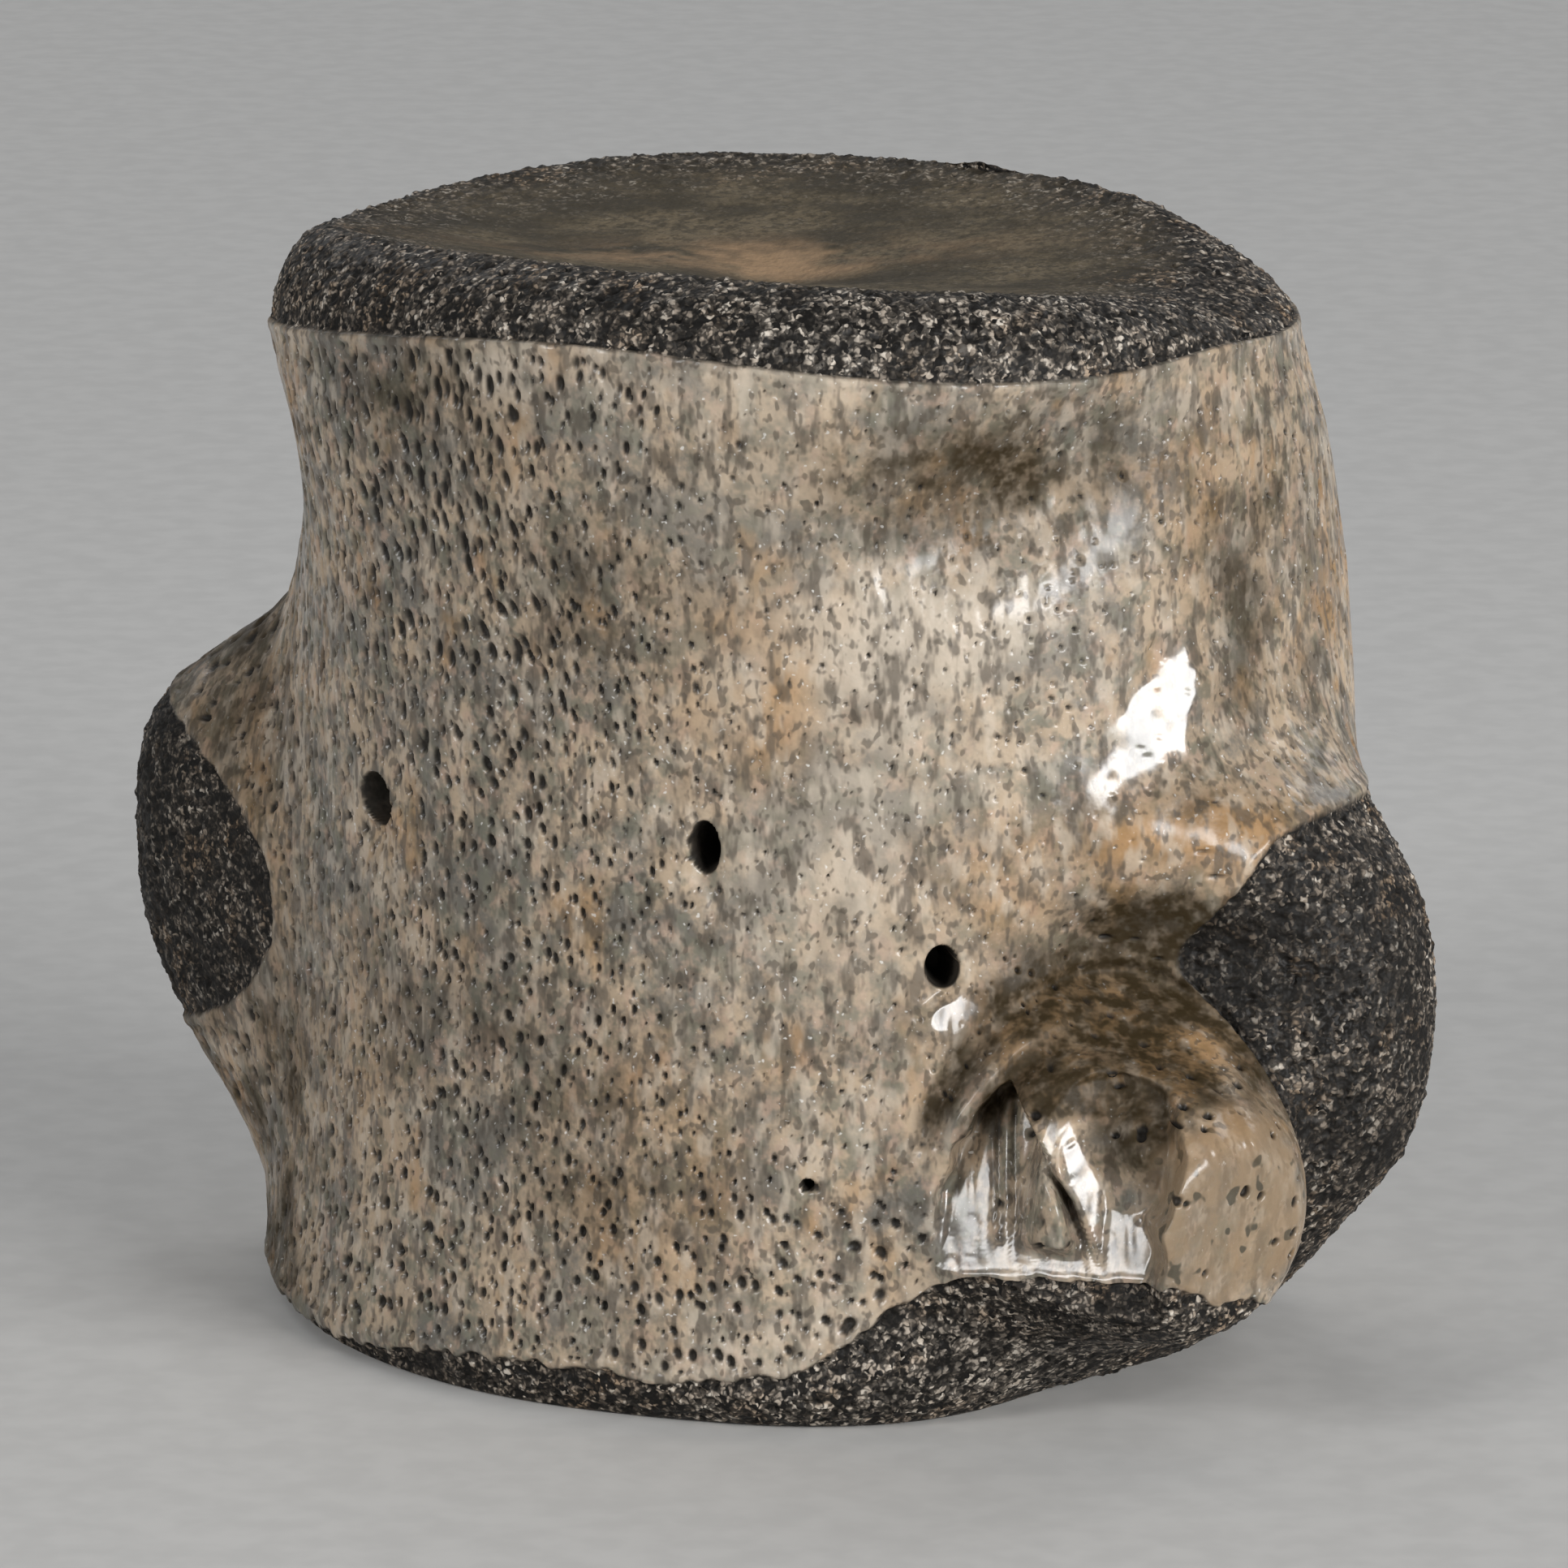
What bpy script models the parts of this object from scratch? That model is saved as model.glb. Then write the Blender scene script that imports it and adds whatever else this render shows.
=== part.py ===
"""Fossil reptile vertebra: the body (centrum) of one young marine reptile's vertebra.

The bone stands on one articular end, with the axis of the backbone upright, as a museum
would show it. Metres, +Z up, origin at the middle of the floor under the bone.

Angles run round the upright axis in degrees, from the middle of the underside (0) to the
right flank (90) and the back, where the neural arch sat (180). The underside is turned
towards -Y and a little towards -X.
"""

import math
from collections import namedtuple

import bmesh
import bpy
import numpy as np
from mathutils import Matrix, Vector

# Driving dimensions of the bone
END_WIDTH = 0.0468
END_DEPTH = 0.0390
WAIST_WIDTH = 0.0436
WAIST_DEPTH = 0.0372
LENGTH = 0.0496
UNDERSIDE_TURN = 32.0
# Where the middle of the bone's own box lies from the axis of its ends
BOX_MIDDLE = (-0.00066, -0.00197)

# A change that runs along one angle of a rim, and its half width in degrees
Wave = namedtuple("Wave", "angle spread rise")
# A swelling (+) or hollow (-) of the wall, with its half width and its half height
Form = namedtuple("Form", "angle spread height tall rise")

# Where the smooth cortex stops under the grainy upper end, and above the lower one
UPPER_EDGE = 0.0456
UPPER_EDGE_WAVES = (
    Wave(5.0, 32.0, 0.0014),
    Wave(88.0, 14.0, 0.0005),
    Wave(-72.0, 30.0, -0.0013),
    Wave(180.0, 40.0, 0.0008),
)
LOWER_EDGE = 0.0013
LOWER_EDGE_WAVES = (
    Wave(4.0, 28.0, 0.0009),
    Wave(57.0, 17.0, 0.0056),
    Wave(98.0, 26.0, 0.0042),
    Wave(180.0, 60.0, 0.0012),
)
# The upper end's own rim, lowest at the flanks
RIM_WAVES = (
    Wave(0.0, 40.0, 0.0003),
    Wave(108.0, 40.0, -0.0021),
    Wave(-85.0, 35.0, -0.0012),
)
# How far the two rims stand in from the wall
UPPER_CORNER_WIDTH = 0.0020
UPPER_CORNER_WAVES = (
    Wave(5.0, 55.0, 0.0019),
    Wave(104.0, 42.0, 0.0040),
    Wave(-130.0, 50.0, 0.0012),
)
LOWER_CORNER_WIDTH = 0.0006
LOWER_CORNER_WAVES = (
    Wave(18.0, 22.0, 0.0011),
    Wave(84.0, 36.0, 0.0071),
    Wave(150.0, 40.0, 0.0026),
)

# Forms of the wall
FLARES = (
    Form(124.0, 24.0, 0.0305, 0.0130, 0.0036),
    Form(-124.0, 24.0, 0.0300, 0.0130, 0.0034),
)
END_SWELLINGS = (
    Form(-66.0, 40.0, 0.0430, 0.0060, 0.0006),
    Form(100.0, 40.0, 0.0470, 0.0040, -0.0012),
    Form(-50.0, 40.0, 0.0000, 0.0050, 0.0005),
)
FOSSA = Form(56.0, 19.0, 0.0405, 0.0033, -0.0022)
FOSSA_TILT = 0.00009
LEFT_FOSSA = Form(-70.0, 18.0, 0.0390, 0.0045, -0.0012)
CREST = Form(78.0, 15.0, 0.0256, 0.0036, 0.0020)
RECESS = Form(68.0, 11.0, 0.0200, 0.0026, -0.0026)

# The back: the spinal cord's groove, its two lips, and the seats of the lost neural arch
CORD_GROOVE = Wave(180.0, 9.5, -0.0026)
CORD_LIPS = (Wave(165.5, 4.5, 0.0008), Wave(-165.5, 4.5, 0.0008))
ARCH_SEATS = (Wave(150.0, 8.5, -0.0016), Wave(-150.0, 8.5, -0.0016))
SEAT_RIMS = (Wave(134.0, 7.0, 0.0009), Wave(-134.0, 7.0, 0.0009))
ARCH_MIDDLE = 0.0248
ARCH_HALF_LENGTH = 0.0172

# The seats of the two ribs: place towards the underside, height, how far they stand out,
# and their half sizes towards the underside, the back, the upper end and the lower end
RIGHT_SEAT = (-0.0025, 0.0163, 0.0088, (0.0090, 0.0092, 0.0110, 0.0102))
LEFT_SEAT = (0.0034, 0.0204, 0.0117, (0.0066, 0.0105, 0.0090, 0.0148))
SEAT_DOME = 0.3
SEAT_REACH = 1.2
SEAT_STEEPNESS = 4.5

# The knob below the right seat: its middle and axis, each along the flank, the underside
# and upwards, then its stump and the collar round its root
KNOB_MIDDLE = (0.0222, 0.0088, 0.0108)
KNOB_AXIS = (0.960, 0.280, -0.100)
STUMP_LENGTH = 0.0062
STUMP_RADIUS = 0.0060
STUMP_STEEPNESS = 9
COLLAR_RISE = 0.0011
COLLAR_RADIUS = 0.0076
COLLAR_STEEPNESS = 14
KNOB_REACH = 0.0160

# End faces
CONTACT_SHARE = 0.88
LOWER_HOLLOW = 0.0016
UPPER_MIDDLE = 0.0474
PIT_RADIUS = 0.0034
PIT_DEPTH = 0.0008

# Blood vessel openings: angle, height, width, height of the opening
FORAMINA = {
    "left": (-28.0, 0.0256, 0.0013, 0.0022),
    "middle": (18.8, 0.0256, 0.0012, 0.0022),
    "right": (45.0, 0.0205, 0.0015, 0.0020),
}
FORAMEN_DEPTH = 0.0030
FORAMEN_SIDES = 10
FORAMEN_RADIUS = 0.5
FORAMEN_END_RADIUS = 0.28
SEARCH_STEPS = 8

# Stations along the outline, from the middle of the lower end to the middle of the upper
LOWER_RING = 1.0
LOWER_CORNER = 2.0
UPPER_CORNER = 3.0
UPPER_RING = 4.0
TOP = 5.0

# Rings of the blank between those stations, and columns round it
FACE_RINGS = 6
CORNER_RINGS = 4
WALL_RINGS = 36
COLUMNS = 100
# Columns stand closer together on the flank that carries the knob
CROWD_TOWARDS = 80.0
CROWD_SHIFT = 10.0
MERGE_DISTANCE = 1e-5

BONE_COLOUR = (0.30, 0.24, 0.17)
BONE_ROUGHNESS = 0.32
SHARP_ANGLE = 38.0


def bell(offset, spread):
    """A smooth hill, 1 at its middle."""
    return np.exp(-((offset / spread) ** 2))


def round_the_bone(angle, centre):
    """The offset from a centre angle, between -180 and 180 degrees."""
    return (angle - centre + 180.0) % 360.0 - 180.0


def waves(angle, *rows):
    """The sum of waves along a rim or up the wall."""
    return sum(row.rise * bell(round_the_bone(angle, row.angle), row.spread) for row in rows)


def forms(angle, height, *rows):
    """The sum of swellings and hollows of the wall."""
    return sum(waves(angle, row) * bell(height - row.height, row.tall) for row in rows)


def sideways():
    """Unit directions to the bone's right flank and out of its underside."""
    turn = math.radians(UNDERSIDE_TURN)
    to_flank = np.array((math.cos(turn), -math.sin(turn), 0.0))
    to_underside = np.array((-math.sin(turn), -math.cos(turn), 0.0))
    return to_flank, to_underside


def outline(angle, station):
    """The plain waisted drum: half width, half depth and height at each place."""
    up_wall = np.clip(station - LOWER_CORNER, 0.0, 1.0)
    waist = 4.0 * up_wall * (1.0 - up_wall)
    half_width = (END_WIDTH - (END_WIDTH - WAIST_WIDTH) * waist) / 2.0
    half_depth = (END_DEPTH - (END_DEPTH - WAIST_DEPTH) * waist) / 2.0

    low = LOWER_EDGE + waves(angle, *LOWER_EDGE_WAVES)
    high = UPPER_EDGE + waves(angle, *UPPER_EDGE_WAVES)
    rim = LENGTH + waves(angle, *RIM_WAVES)
    height = low + (high - low) * up_wall

    round_low = np.clip(LOWER_CORNER - station, 0.0, 1.0) * math.pi / 2.0
    round_high = np.clip(station - UPPER_CORNER, 0.0, 1.0) * math.pi / 2.0
    low_width = LOWER_CORNER_WIDTH + waves(angle, *LOWER_CORNER_WAVES)
    high_width = UPPER_CORNER_WIDTH + waves(angle, *UPPER_CORNER_WAVES)
    inset = low_width * (1.0 - np.cos(round_low)) + high_width * (1.0 - np.cos(round_high))
    height = height - low * np.sin(round_low) + (rim - high) * np.sin(round_high)

    low_share = np.clip(station, 0.0, 1.0)
    high_share = np.clip(TOP - station, 0.0, 1.0)
    hollow = 1.0 - (low_share / CONTACT_SHARE) ** 2
    height = height + LOWER_HOLLOW * np.clip(hollow, 0.0, 1.0)
    height = height - (rim - UPPER_MIDDLE) * (1.0 - high_share ** 2)
    share = low_share * high_share
    return (half_width - inset) * share, (half_depth - inset) * share, height


def wall_forms(angle, height):
    """How far the wall swells out or draws in, square to itself."""
    tilted = height - FOSSA_TILT * round_the_bone(angle, FOSSA.angle)
    bumps = (forms(angle, height, *FLARES, *END_SWELLINGS, LEFT_FOSSA, CREST, RECESS)
             + forms(angle, tilted, FOSSA))
    along = 1.0 / (1.0 + ((height - ARCH_MIDDLE) / ARCH_HALF_LENGTH) ** 8)
    back = waves(angle, *CORD_LIPS, *ARCH_SEATS, *SEAT_RIMS) * along
    return bumps + back + waves(angle, CORD_GROOVE)


def rib_seat(under, height, seat):
    """A domed seat for a rib: how far it stands out of the flank."""
    middle_under, middle_height, rise, reaches = seat
    to_underside, to_back, to_upper, to_lower = reaches
    side = under - middle_under
    drop = height - middle_height
    across = side / np.where(side > 0.0, to_underside, to_back)
    along = drop / np.where(drop > 0.0, to_upper, to_lower)
    away = np.hypot(across, along)
    dome = 1.0 - SEAT_DOME * np.minimum(away, SEAT_REACH) ** 2
    return rise * dome / (1.0 + away ** SEAT_STEEPNESS)


def knob(points, to_flank, to_underside):
    """How far each place is pushed out along the knob's own axis, and that axis."""
    frame = np.stack((to_flank, to_underside, (0.0, 0.0, 1.0)))
    axis = np.array(KNOB_AXIS) @ frame
    axis = axis / np.linalg.norm(axis)
    offset = points - np.array(KNOB_MIDDLE) @ frame
    along = offset @ axis
    across = np.linalg.norm(offset - np.outer(along, axis), axis=1)
    away = np.linalg.norm(offset, axis=1)
    stump = (STUMP_LENGTH - along) / (1.0 + (across / STUMP_RADIUS) ** STUMP_STEEPNESS)
    collar = COLLAR_RISE / (1.0 + (away / COLLAR_RADIUS) ** COLLAR_STEEPNESS)
    return np.where(away < KNOB_REACH, stump + collar, 0.0), axis


def shape(angle, station):
    """Turn places on the blank into places on the bone."""
    to_flank, to_underside = sideways()
    wide, deep, height = outline(angle, station)
    turn = np.radians(angle)
    on_wall = np.sin(np.clip(station - LOWER_RING, 0.0, 1.0) * math.pi / 2.0)
    on_wall = on_wall * np.sin(np.clip(UPPER_RING - station, 0.0, 1.0) * math.pi / 2.0)

    outward = np.stack((np.sin(turn) / END_WIDTH, np.cos(turn) / END_DEPTH), axis=1)
    outward = outward / np.linalg.norm(outward, axis=1)[:, None]
    push = wall_forms(angle, height) * on_wall
    flank = wide * np.sin(turn) + outward[:, 0] * push
    under = deep * np.cos(turn) + outward[:, 1] * push

    right = rib_seat(under, height, RIGHT_SEAT)
    left = rib_seat(under, height, LEFT_SEAT)
    outer_right = np.sqrt(np.clip(flank / (END_WIDTH / 2.0), 0.0, 1.0))
    outer_left = np.sqrt(np.clip(-flank / (END_WIDTH / 2.0), 0.0, 1.0))
    flank = flank + (right * outer_right - left * outer_left) * on_wall

    points = np.outer(flank, to_flank) + np.outer(under, to_underside)
    points[:, 2] = height
    push, axis = knob(points, to_flank, to_underside)
    points = points + np.outer(push * on_wall, axis)

    from_middle = np.linalg.norm(points[:, :2], axis=1)
    on_top = station > UPPER_RING
    points[:, 2] -= PIT_DEPTH * bell(from_middle, PIT_RADIUS) * on_top
    points[:, :2] -= BOX_MIDDLE
    return points


def turned_blank():
    """A turned drum whose height counts the stations along the bone's outline."""
    stations = np.concatenate((
        np.linspace(0.0, LOWER_RING, FACE_RINGS, endpoint=False),
        np.linspace(LOWER_RING, LOWER_CORNER, CORNER_RINGS, endpoint=False),
        np.linspace(LOWER_CORNER, UPPER_CORNER, WALL_RINGS, endpoint=False),
        np.linspace(UPPER_CORNER, UPPER_RING, CORNER_RINGS, endpoint=False),
        np.linspace(UPPER_RING, TOP, FACE_RINGS + 1),
    ))
    blank = bmesh.new()
    last = None
    for station in stations:
        radius = 0.0 if station in (0.0, TOP) else 1.0
        corner = blank.verts.new((radius, 0.0, station))
        if last is not None:
            blank.edges.new((last, corner))
        last = corner
    bmesh.ops.spin(blank, geom=blank.verts[:] + blank.edges[:], cent=(0.0, 0.0, 0.0),
                   axis=(0.0, 0.0, 1.0), angle=math.tau, steps=COLUMNS, use_merge=True,
                   use_duplicate=False)
    bmesh.ops.remove_doubles(blank, verts=blank.verts, dist=MERGE_DISTANCE)
    bmesh.ops.recalc_face_normals(blank, faces=blank.faces)
    return blank


def bone_material():
    """A glossy, varnished fossil bone."""
    material = bpy.data.materials.new("fossil_bone")
    material.use_nodes = True
    shader = material.node_tree.nodes["Principled BSDF"]
    shader.inputs["Base Color"].default_value = (*BONE_COLOUR, 1.0)
    shader.inputs["Roughness"].default_value = BONE_ROUGHNESS
    shader.inputs["Metallic"].default_value = 0.0
    return material


def place_on_wall(angle, height):
    """The place on the wall at an angle and a height, found in a few steps."""
    station = (LOWER_CORNER + UPPER_CORNER) / 2.0
    for _ in range(SEARCH_STEPS):
        place = shape(np.array((angle,)), np.array((station,)))[0]
        station += (height - place[2]) / (UPPER_EDGE - LOWER_EDGE)
    return place


def vessel_cutter(name, angle, height, width, tall):
    """A narrow pointed plug, set square to the wall, that opens a blood vessel's hole."""
    place = place_on_wall(angle, height)
    inward = -Vector((place[0], place[1], 0.0)).normalized()
    plug = bmesh.new()
    bmesh.ops.create_cone(plug, cap_ends=True, segments=FORAMEN_SIDES, radius1=FORAMEN_RADIUS,
                          radius2=FORAMEN_END_RADIUS, depth=1.0)
    bmesh.ops.scale(plug, vec=(width, tall, 2.0 * FORAMEN_DEPTH), verts=plug.verts)
    turn = inward.to_track_quat("Z", "Y").to_matrix().to_4x4()
    bmesh.ops.transform(plug, matrix=Matrix.Translation(place) @ turn, verts=plug.verts)
    mesh = bpy.data.meshes.new(name)
    plug.to_mesh(mesh)
    plug.free()
    cutter = bpy.data.objects.new(name, mesh)
    cutter.hide_render = True
    cutter.display_type = "WIRE"
    bpy.context.collection.objects.link(cutter)
    return cutter


def make_centrum():
    """The whole bone, one closed body."""
    blank = turned_blank()
    corners = np.array([corner.co[:] for corner in blank.verts])
    turned = np.arctan2(corners[:, 1], corners[:, 0])
    angle = np.degrees(turned) + CROWD_TOWARDS - CROWD_SHIFT * np.sin(turned)
    places = shape(angle, corners[:, 2])
    for corner, place in zip(blank.verts, places, strict=True):
        corner.co = place
    bmesh.ops.recalc_face_normals(blank, faces=blank.faces)
    mesh = bpy.data.meshes.new("centrum")
    blank.to_mesh(mesh)
    blank.free()
    mesh.shade_smooth()
    mesh.materials.append(bone_material())
    bone = bpy.data.objects.new("centrum", mesh)
    bpy.context.collection.objects.link(bone)
    for name, (angle, height, width, tall) in FORAMINA.items():
        hole = bone.modifiers.new(name, "BOOLEAN")
        hole.operation = "DIFFERENCE"
        hole.solver = "EXACT"
        hole.object = vessel_cutter("vessel_" + name, angle, height, width, tall)
    cut = bone.evaluated_get(bpy.context.evaluated_depsgraph_get())
    bone.data = bpy.data.meshes.new_from_object(cut)
    bone.modifiers.clear()
    bone.data.set_sharp_from_angle(angle=math.radians(SHARP_ANGLE))
    return bone


def main():
    for item in list(bpy.data.objects):
        bpy.data.objects.remove(item)
    make_centrum()


main()
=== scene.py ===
# %% [markdown]
# # A fossil vertebra, from the solid to the finished bone
# The real object is the body (centrum) of one vertebra from the neck of a young marine reptile.
# It stands on one end. A measured solid of it exists already, and this lesson lays the real
# surface over it: pits, fibres, grainy ends, vessel openings, and a coat of varnish.
# Loading comes first, because every later step is placed by the solid.

import itertools
import math
from collections import namedtuple

import bmesh
import bpy
import numpy as np
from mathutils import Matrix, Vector


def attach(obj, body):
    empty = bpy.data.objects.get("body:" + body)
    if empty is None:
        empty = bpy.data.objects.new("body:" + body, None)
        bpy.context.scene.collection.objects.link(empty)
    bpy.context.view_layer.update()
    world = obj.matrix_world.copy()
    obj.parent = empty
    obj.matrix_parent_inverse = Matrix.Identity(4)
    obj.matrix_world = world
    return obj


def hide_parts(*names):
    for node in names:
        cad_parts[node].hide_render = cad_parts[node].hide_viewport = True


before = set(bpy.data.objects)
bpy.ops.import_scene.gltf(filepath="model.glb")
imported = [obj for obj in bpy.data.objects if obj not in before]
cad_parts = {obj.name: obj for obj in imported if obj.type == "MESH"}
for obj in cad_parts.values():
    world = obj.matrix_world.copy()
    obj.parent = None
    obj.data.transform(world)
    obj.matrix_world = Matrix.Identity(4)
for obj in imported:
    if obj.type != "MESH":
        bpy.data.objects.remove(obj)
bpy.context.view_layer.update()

# %% [markdown]
# # The plain drum
# A centrum is a waisted drum with an oval section. One way to get it is to sculpt; here every
# place on the bone has two numbers instead, an angle round the axis and a station along its
# outline, and a formula turns them into a place. The same two numbers later say where a pit,
# a stain or a seam is, so that no piece has to be fitted to its neighbour.
# Angles run from the middle of the underside (0) to the right flank (90) and the back (180).

# %% Sizes of the drum
END_WIDTH = 0.0468
END_DEPTH = 0.0390
WAIST_WIDTH = 0.0436
WAIST_DEPTH = 0.0372
LENGTH = 0.0496
UNDERSIDE_TURN = 32.0
BOX_MIDDLE = (-0.00066, -0.00197)

LOWER_RING = 1.0
LOWER_CORNER = 2.0
UPPER_CORNER = 3.0
UPPER_RING = 4.0
TOP = 5.0

turn = math.radians(UNDERSIDE_TURN)
TO_FLANK = np.array((math.cos(turn), -math.sin(turn), 0.0))
TO_UNDERSIDE = np.array((-math.sin(turn), -math.cos(turn), 0.0))
UPWARDS = np.array((0.0, 0.0, 1.0))
print("right flank points to", TO_FLANK.round(3))

# %% [markdown]
# # Waves and forms
# The rims of a real bone wander, and its wall swells and sinks. A smooth hill, a bell, is the
# only building block: a wave is a bell round the bone, a form is a bell both ways.

# %% Bells, waves and forms
Wave = namedtuple("Wave", "angle spread rise")
Form = namedtuple("Form", "angle spread height tall rise")


def bell(offset, spread):
    """A smooth hill, 1 at its middle."""
    return np.exp(-((offset / spread) ** 2))


def round_the_bone(angle, centre):
    """The offset from a centre angle, between -180 and 180 degrees."""
    return (angle - centre + 180.0) % 360.0 - 180.0


def waves(angle, *rows):
    """The sum of waves along a rim or up the wall."""
    return sum(row.rise * bell(round_the_bone(angle, row.angle), row.spread) for row in rows)


def forms(angle, height, *rows):
    """The sum of swellings and hollows of the wall."""
    return sum(waves(angle, row) * bell(height - row.height, row.tall) for row in rows)


# %% [markdown]
# # The two ends
# The smooth skin of the bone, its cortex, stops short of both ends in a wandering line. Past
# it the bone curls over to the end face: a rounded rim, then a shallow dish. The lower dish is
# hollow inside a ring that stands on the floor.

# %% Edges, rims and corners
UPPER_EDGE = 0.0456
UPPER_EDGE_WAVES = (
    Wave(5, 32, 0.0014),
    Wave(88, 14, 0.0005),
    Wave(-72, 30, -0.0013),
    Wave(180, 40, 0.0008),
)
LOWER_EDGE = 0.0013
LOWER_EDGE_WAVES = (
    Wave(4, 28, 0.0009),
    Wave(57, 17, 0.0056),
    Wave(98, 26, 0.0042),
    Wave(180, 60, 0.0012),
)
RIM_WAVES = (
    Wave(0, 40, 0.0003),
    Wave(108, 40, -0.0021),
    Wave(-85, 35, -0.0012),
)
UPPER_CORNER_WIDTH = 0.0020
UPPER_CORNER_WAVES = (
    Wave(5, 55, 0.0019),
    Wave(104, 42, 0.004),
    Wave(-130, 50, 0.0012),
)
LOWER_CORNER_WIDTH = 0.0006
LOWER_CORNER_WAVES = (
    Wave(18, 22, 0.0011),
    Wave(84, 36, 0.0071),
    Wave(150, 40, 0.0026),
)
CONTACT_SHARE = 0.88
LOWER_HOLLOW = 0.0016
UPPER_MIDDLE = 0.0474
PIT_RADIUS = 0.0034
PIT_DEPTH = 0.0008


def edge_lines(angle):
    """Heights of the cortex's lower and upper edge and of the upper rim, and corner widths."""
    low = LOWER_EDGE + waves(angle, *LOWER_EDGE_WAVES)
    high = UPPER_EDGE + waves(angle, *UPPER_EDGE_WAVES)
    rim = LENGTH + waves(angle, *RIM_WAVES)
    low_width = LOWER_CORNER_WIDTH + waves(angle, *LOWER_CORNER_WAVES)
    high_width = UPPER_CORNER_WIDTH + waves(angle, *UPPER_CORNER_WAVES)
    return low, high, rim, low_width, high_width


def outline(angle, station):
    """The plain waisted drum: half width, half depth and height at each place."""
    up_wall = np.clip(station - LOWER_CORNER, 0.0, 1.0)
    waist = 4.0 * up_wall * (1.0 - up_wall)
    half_width = (END_WIDTH - (END_WIDTH - WAIST_WIDTH) * waist) / 2.0
    half_depth = (END_DEPTH - (END_DEPTH - WAIST_DEPTH) * waist) / 2.0
    low, high, rim, low_width, high_width = edge_lines(angle)
    height = low + (high - low) * up_wall

    round_low = np.clip(LOWER_CORNER - station, 0.0, 1.0) * math.pi / 2.0
    round_high = np.clip(station - UPPER_CORNER, 0.0, 1.0) * math.pi / 2.0
    inset = low_width * (1.0 - np.cos(round_low)) + high_width * (1.0 - np.cos(round_high))
    height = height - low * np.sin(round_low) + (rim - high) * np.sin(round_high)

    low_share = np.clip(station, 0.0, 1.0)
    high_share = np.clip(TOP - station, 0.0, 1.0)
    hollow = 1.0 - (low_share / CONTACT_SHARE) ** 2
    height = height + LOWER_HOLLOW * np.clip(hollow, 0.0, 1.0)
    height = height - (rim - UPPER_MIDDLE) * (1.0 - high_share ** 2)
    share = low_share * high_share
    return (half_width - inset) * share, (half_depth - inset) * share, height


# %% [markdown]
# # Forms of the wall
# The flanks flare towards the back. Under the upper end lies a hollow (a fossa), beside the
# right rib seat a crest with a small recess under it. The back is what the lost neural arch
# left: a groove for the spinal cord between two long, rough seats.

# %% Swellings and hollows
FLARES = (
    Form(124, 24, 0.0305, 0.013, 0.0036),
    Form(-124, 24, 0.03, 0.013, 0.0034),
)
END_SWELLINGS = (
    Form(-66, 40, 0.043, 0.006, 0.0006),
    Form(100, 40, 0.047, 0.004, -0.0012),
    Form(-50, 40, 0, 0.005, 0.0005),
)
FOSSA = Form(56, 19, 0.0405, 0.0033, -0.0022)
FOSSA_TILT = 0.00009
LEFT_FOSSA = Form(-70, 18, 0.039, 0.0045, -0.0012)
CREST = Form(78, 15, 0.0256, 0.0036, 0.002)
RECESS = Form(68, 11, 0.02, 0.0026, -0.0026)
CORD_GROOVE = Wave(180, 9.5, -0.0026)
CORD_LIPS = (Wave(165.5, 4.5, 0.0008), Wave(-165.5, 4.5, 0.0008))
ARCH_SEATS = (Wave(150, 8.5, -0.0016), Wave(-150, 8.5, -0.0016))
SEAT_RIMS = (Wave(134, 7, 0.0009), Wave(-134, 7, 0.0009))
ARCH_MIDDLE = 0.0248
ARCH_HALF_LENGTH = 0.0172


def wall_forms(angle, height):
    """How far the wall swells out or draws in, square to itself."""
    tilted = height - FOSSA_TILT * round_the_bone(angle, FOSSA.angle)
    bumps = (forms(angle, height, *FLARES, *END_SWELLINGS, LEFT_FOSSA, CREST, RECESS)
             + forms(angle, tilted, FOSSA))
    along = 1.0 / (1.0 + ((height - ARCH_MIDDLE) / ARCH_HALF_LENGTH) ** 8)
    back = waves(angle, *CORD_LIPS, *ARCH_SEATS, *SEAT_RIMS) * along
    return bumps + back + waves(angle, CORD_GROOVE)


# %% [markdown]
# # Rib seats and the knob
# Each flank carries a domed seat for a rib. Below the right one a short knob sticks out. Both
# are pushes: a place near them moves straight out along one direction, the further the
# nearer it is, so the surface stays in one piece and no join has to be hidden.

# %% Rib seats and knob
RIGHT_SEAT = (-0.0025, 0.0163, 0.0088, (0.0090, 0.0092, 0.0110, 0.0102))
LEFT_SEAT = (0.0034, 0.0204, 0.0117, (0.0066, 0.0105, 0.0090, 0.0148))
SEAT_DOME = 0.3
SEAT_REACH = 1.2
SEAT_STEEPNESS = 4.5
KNOB_MIDDLE = (0.0222, 0.0088, 0.0108)
KNOB_AXIS = (0.960, 0.280, -0.100)
STUMP_LENGTH = 0.0062
STUMP_RADIUS = 0.0060
STUMP_STEEPNESS = 9
COLLAR_RISE = 0.0011
COLLAR_RADIUS = 0.0076
COLLAR_STEEPNESS = 14
KNOB_REACH = 0.0160
BONE_AXES = np.stack((TO_FLANK, TO_UNDERSIDE, UPWARDS))


def rib_seat(under, height, seat):
    """A domed seat for a rib: how far it stands out of the flank."""
    middle_under, middle_height, rise, reaches = seat
    to_underside, to_back, to_upper, to_lower = reaches
    side = under - middle_under
    drop = height - middle_height
    across = side / np.where(side > 0.0, to_underside, to_back)
    along = drop / np.where(drop > 0.0, to_upper, to_lower)
    away = np.hypot(across, along)
    dome = 1.0 - SEAT_DOME * np.minimum(away, SEAT_REACH) ** 2
    return rise * dome / (1.0 + away ** SEAT_STEEPNESS)


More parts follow.
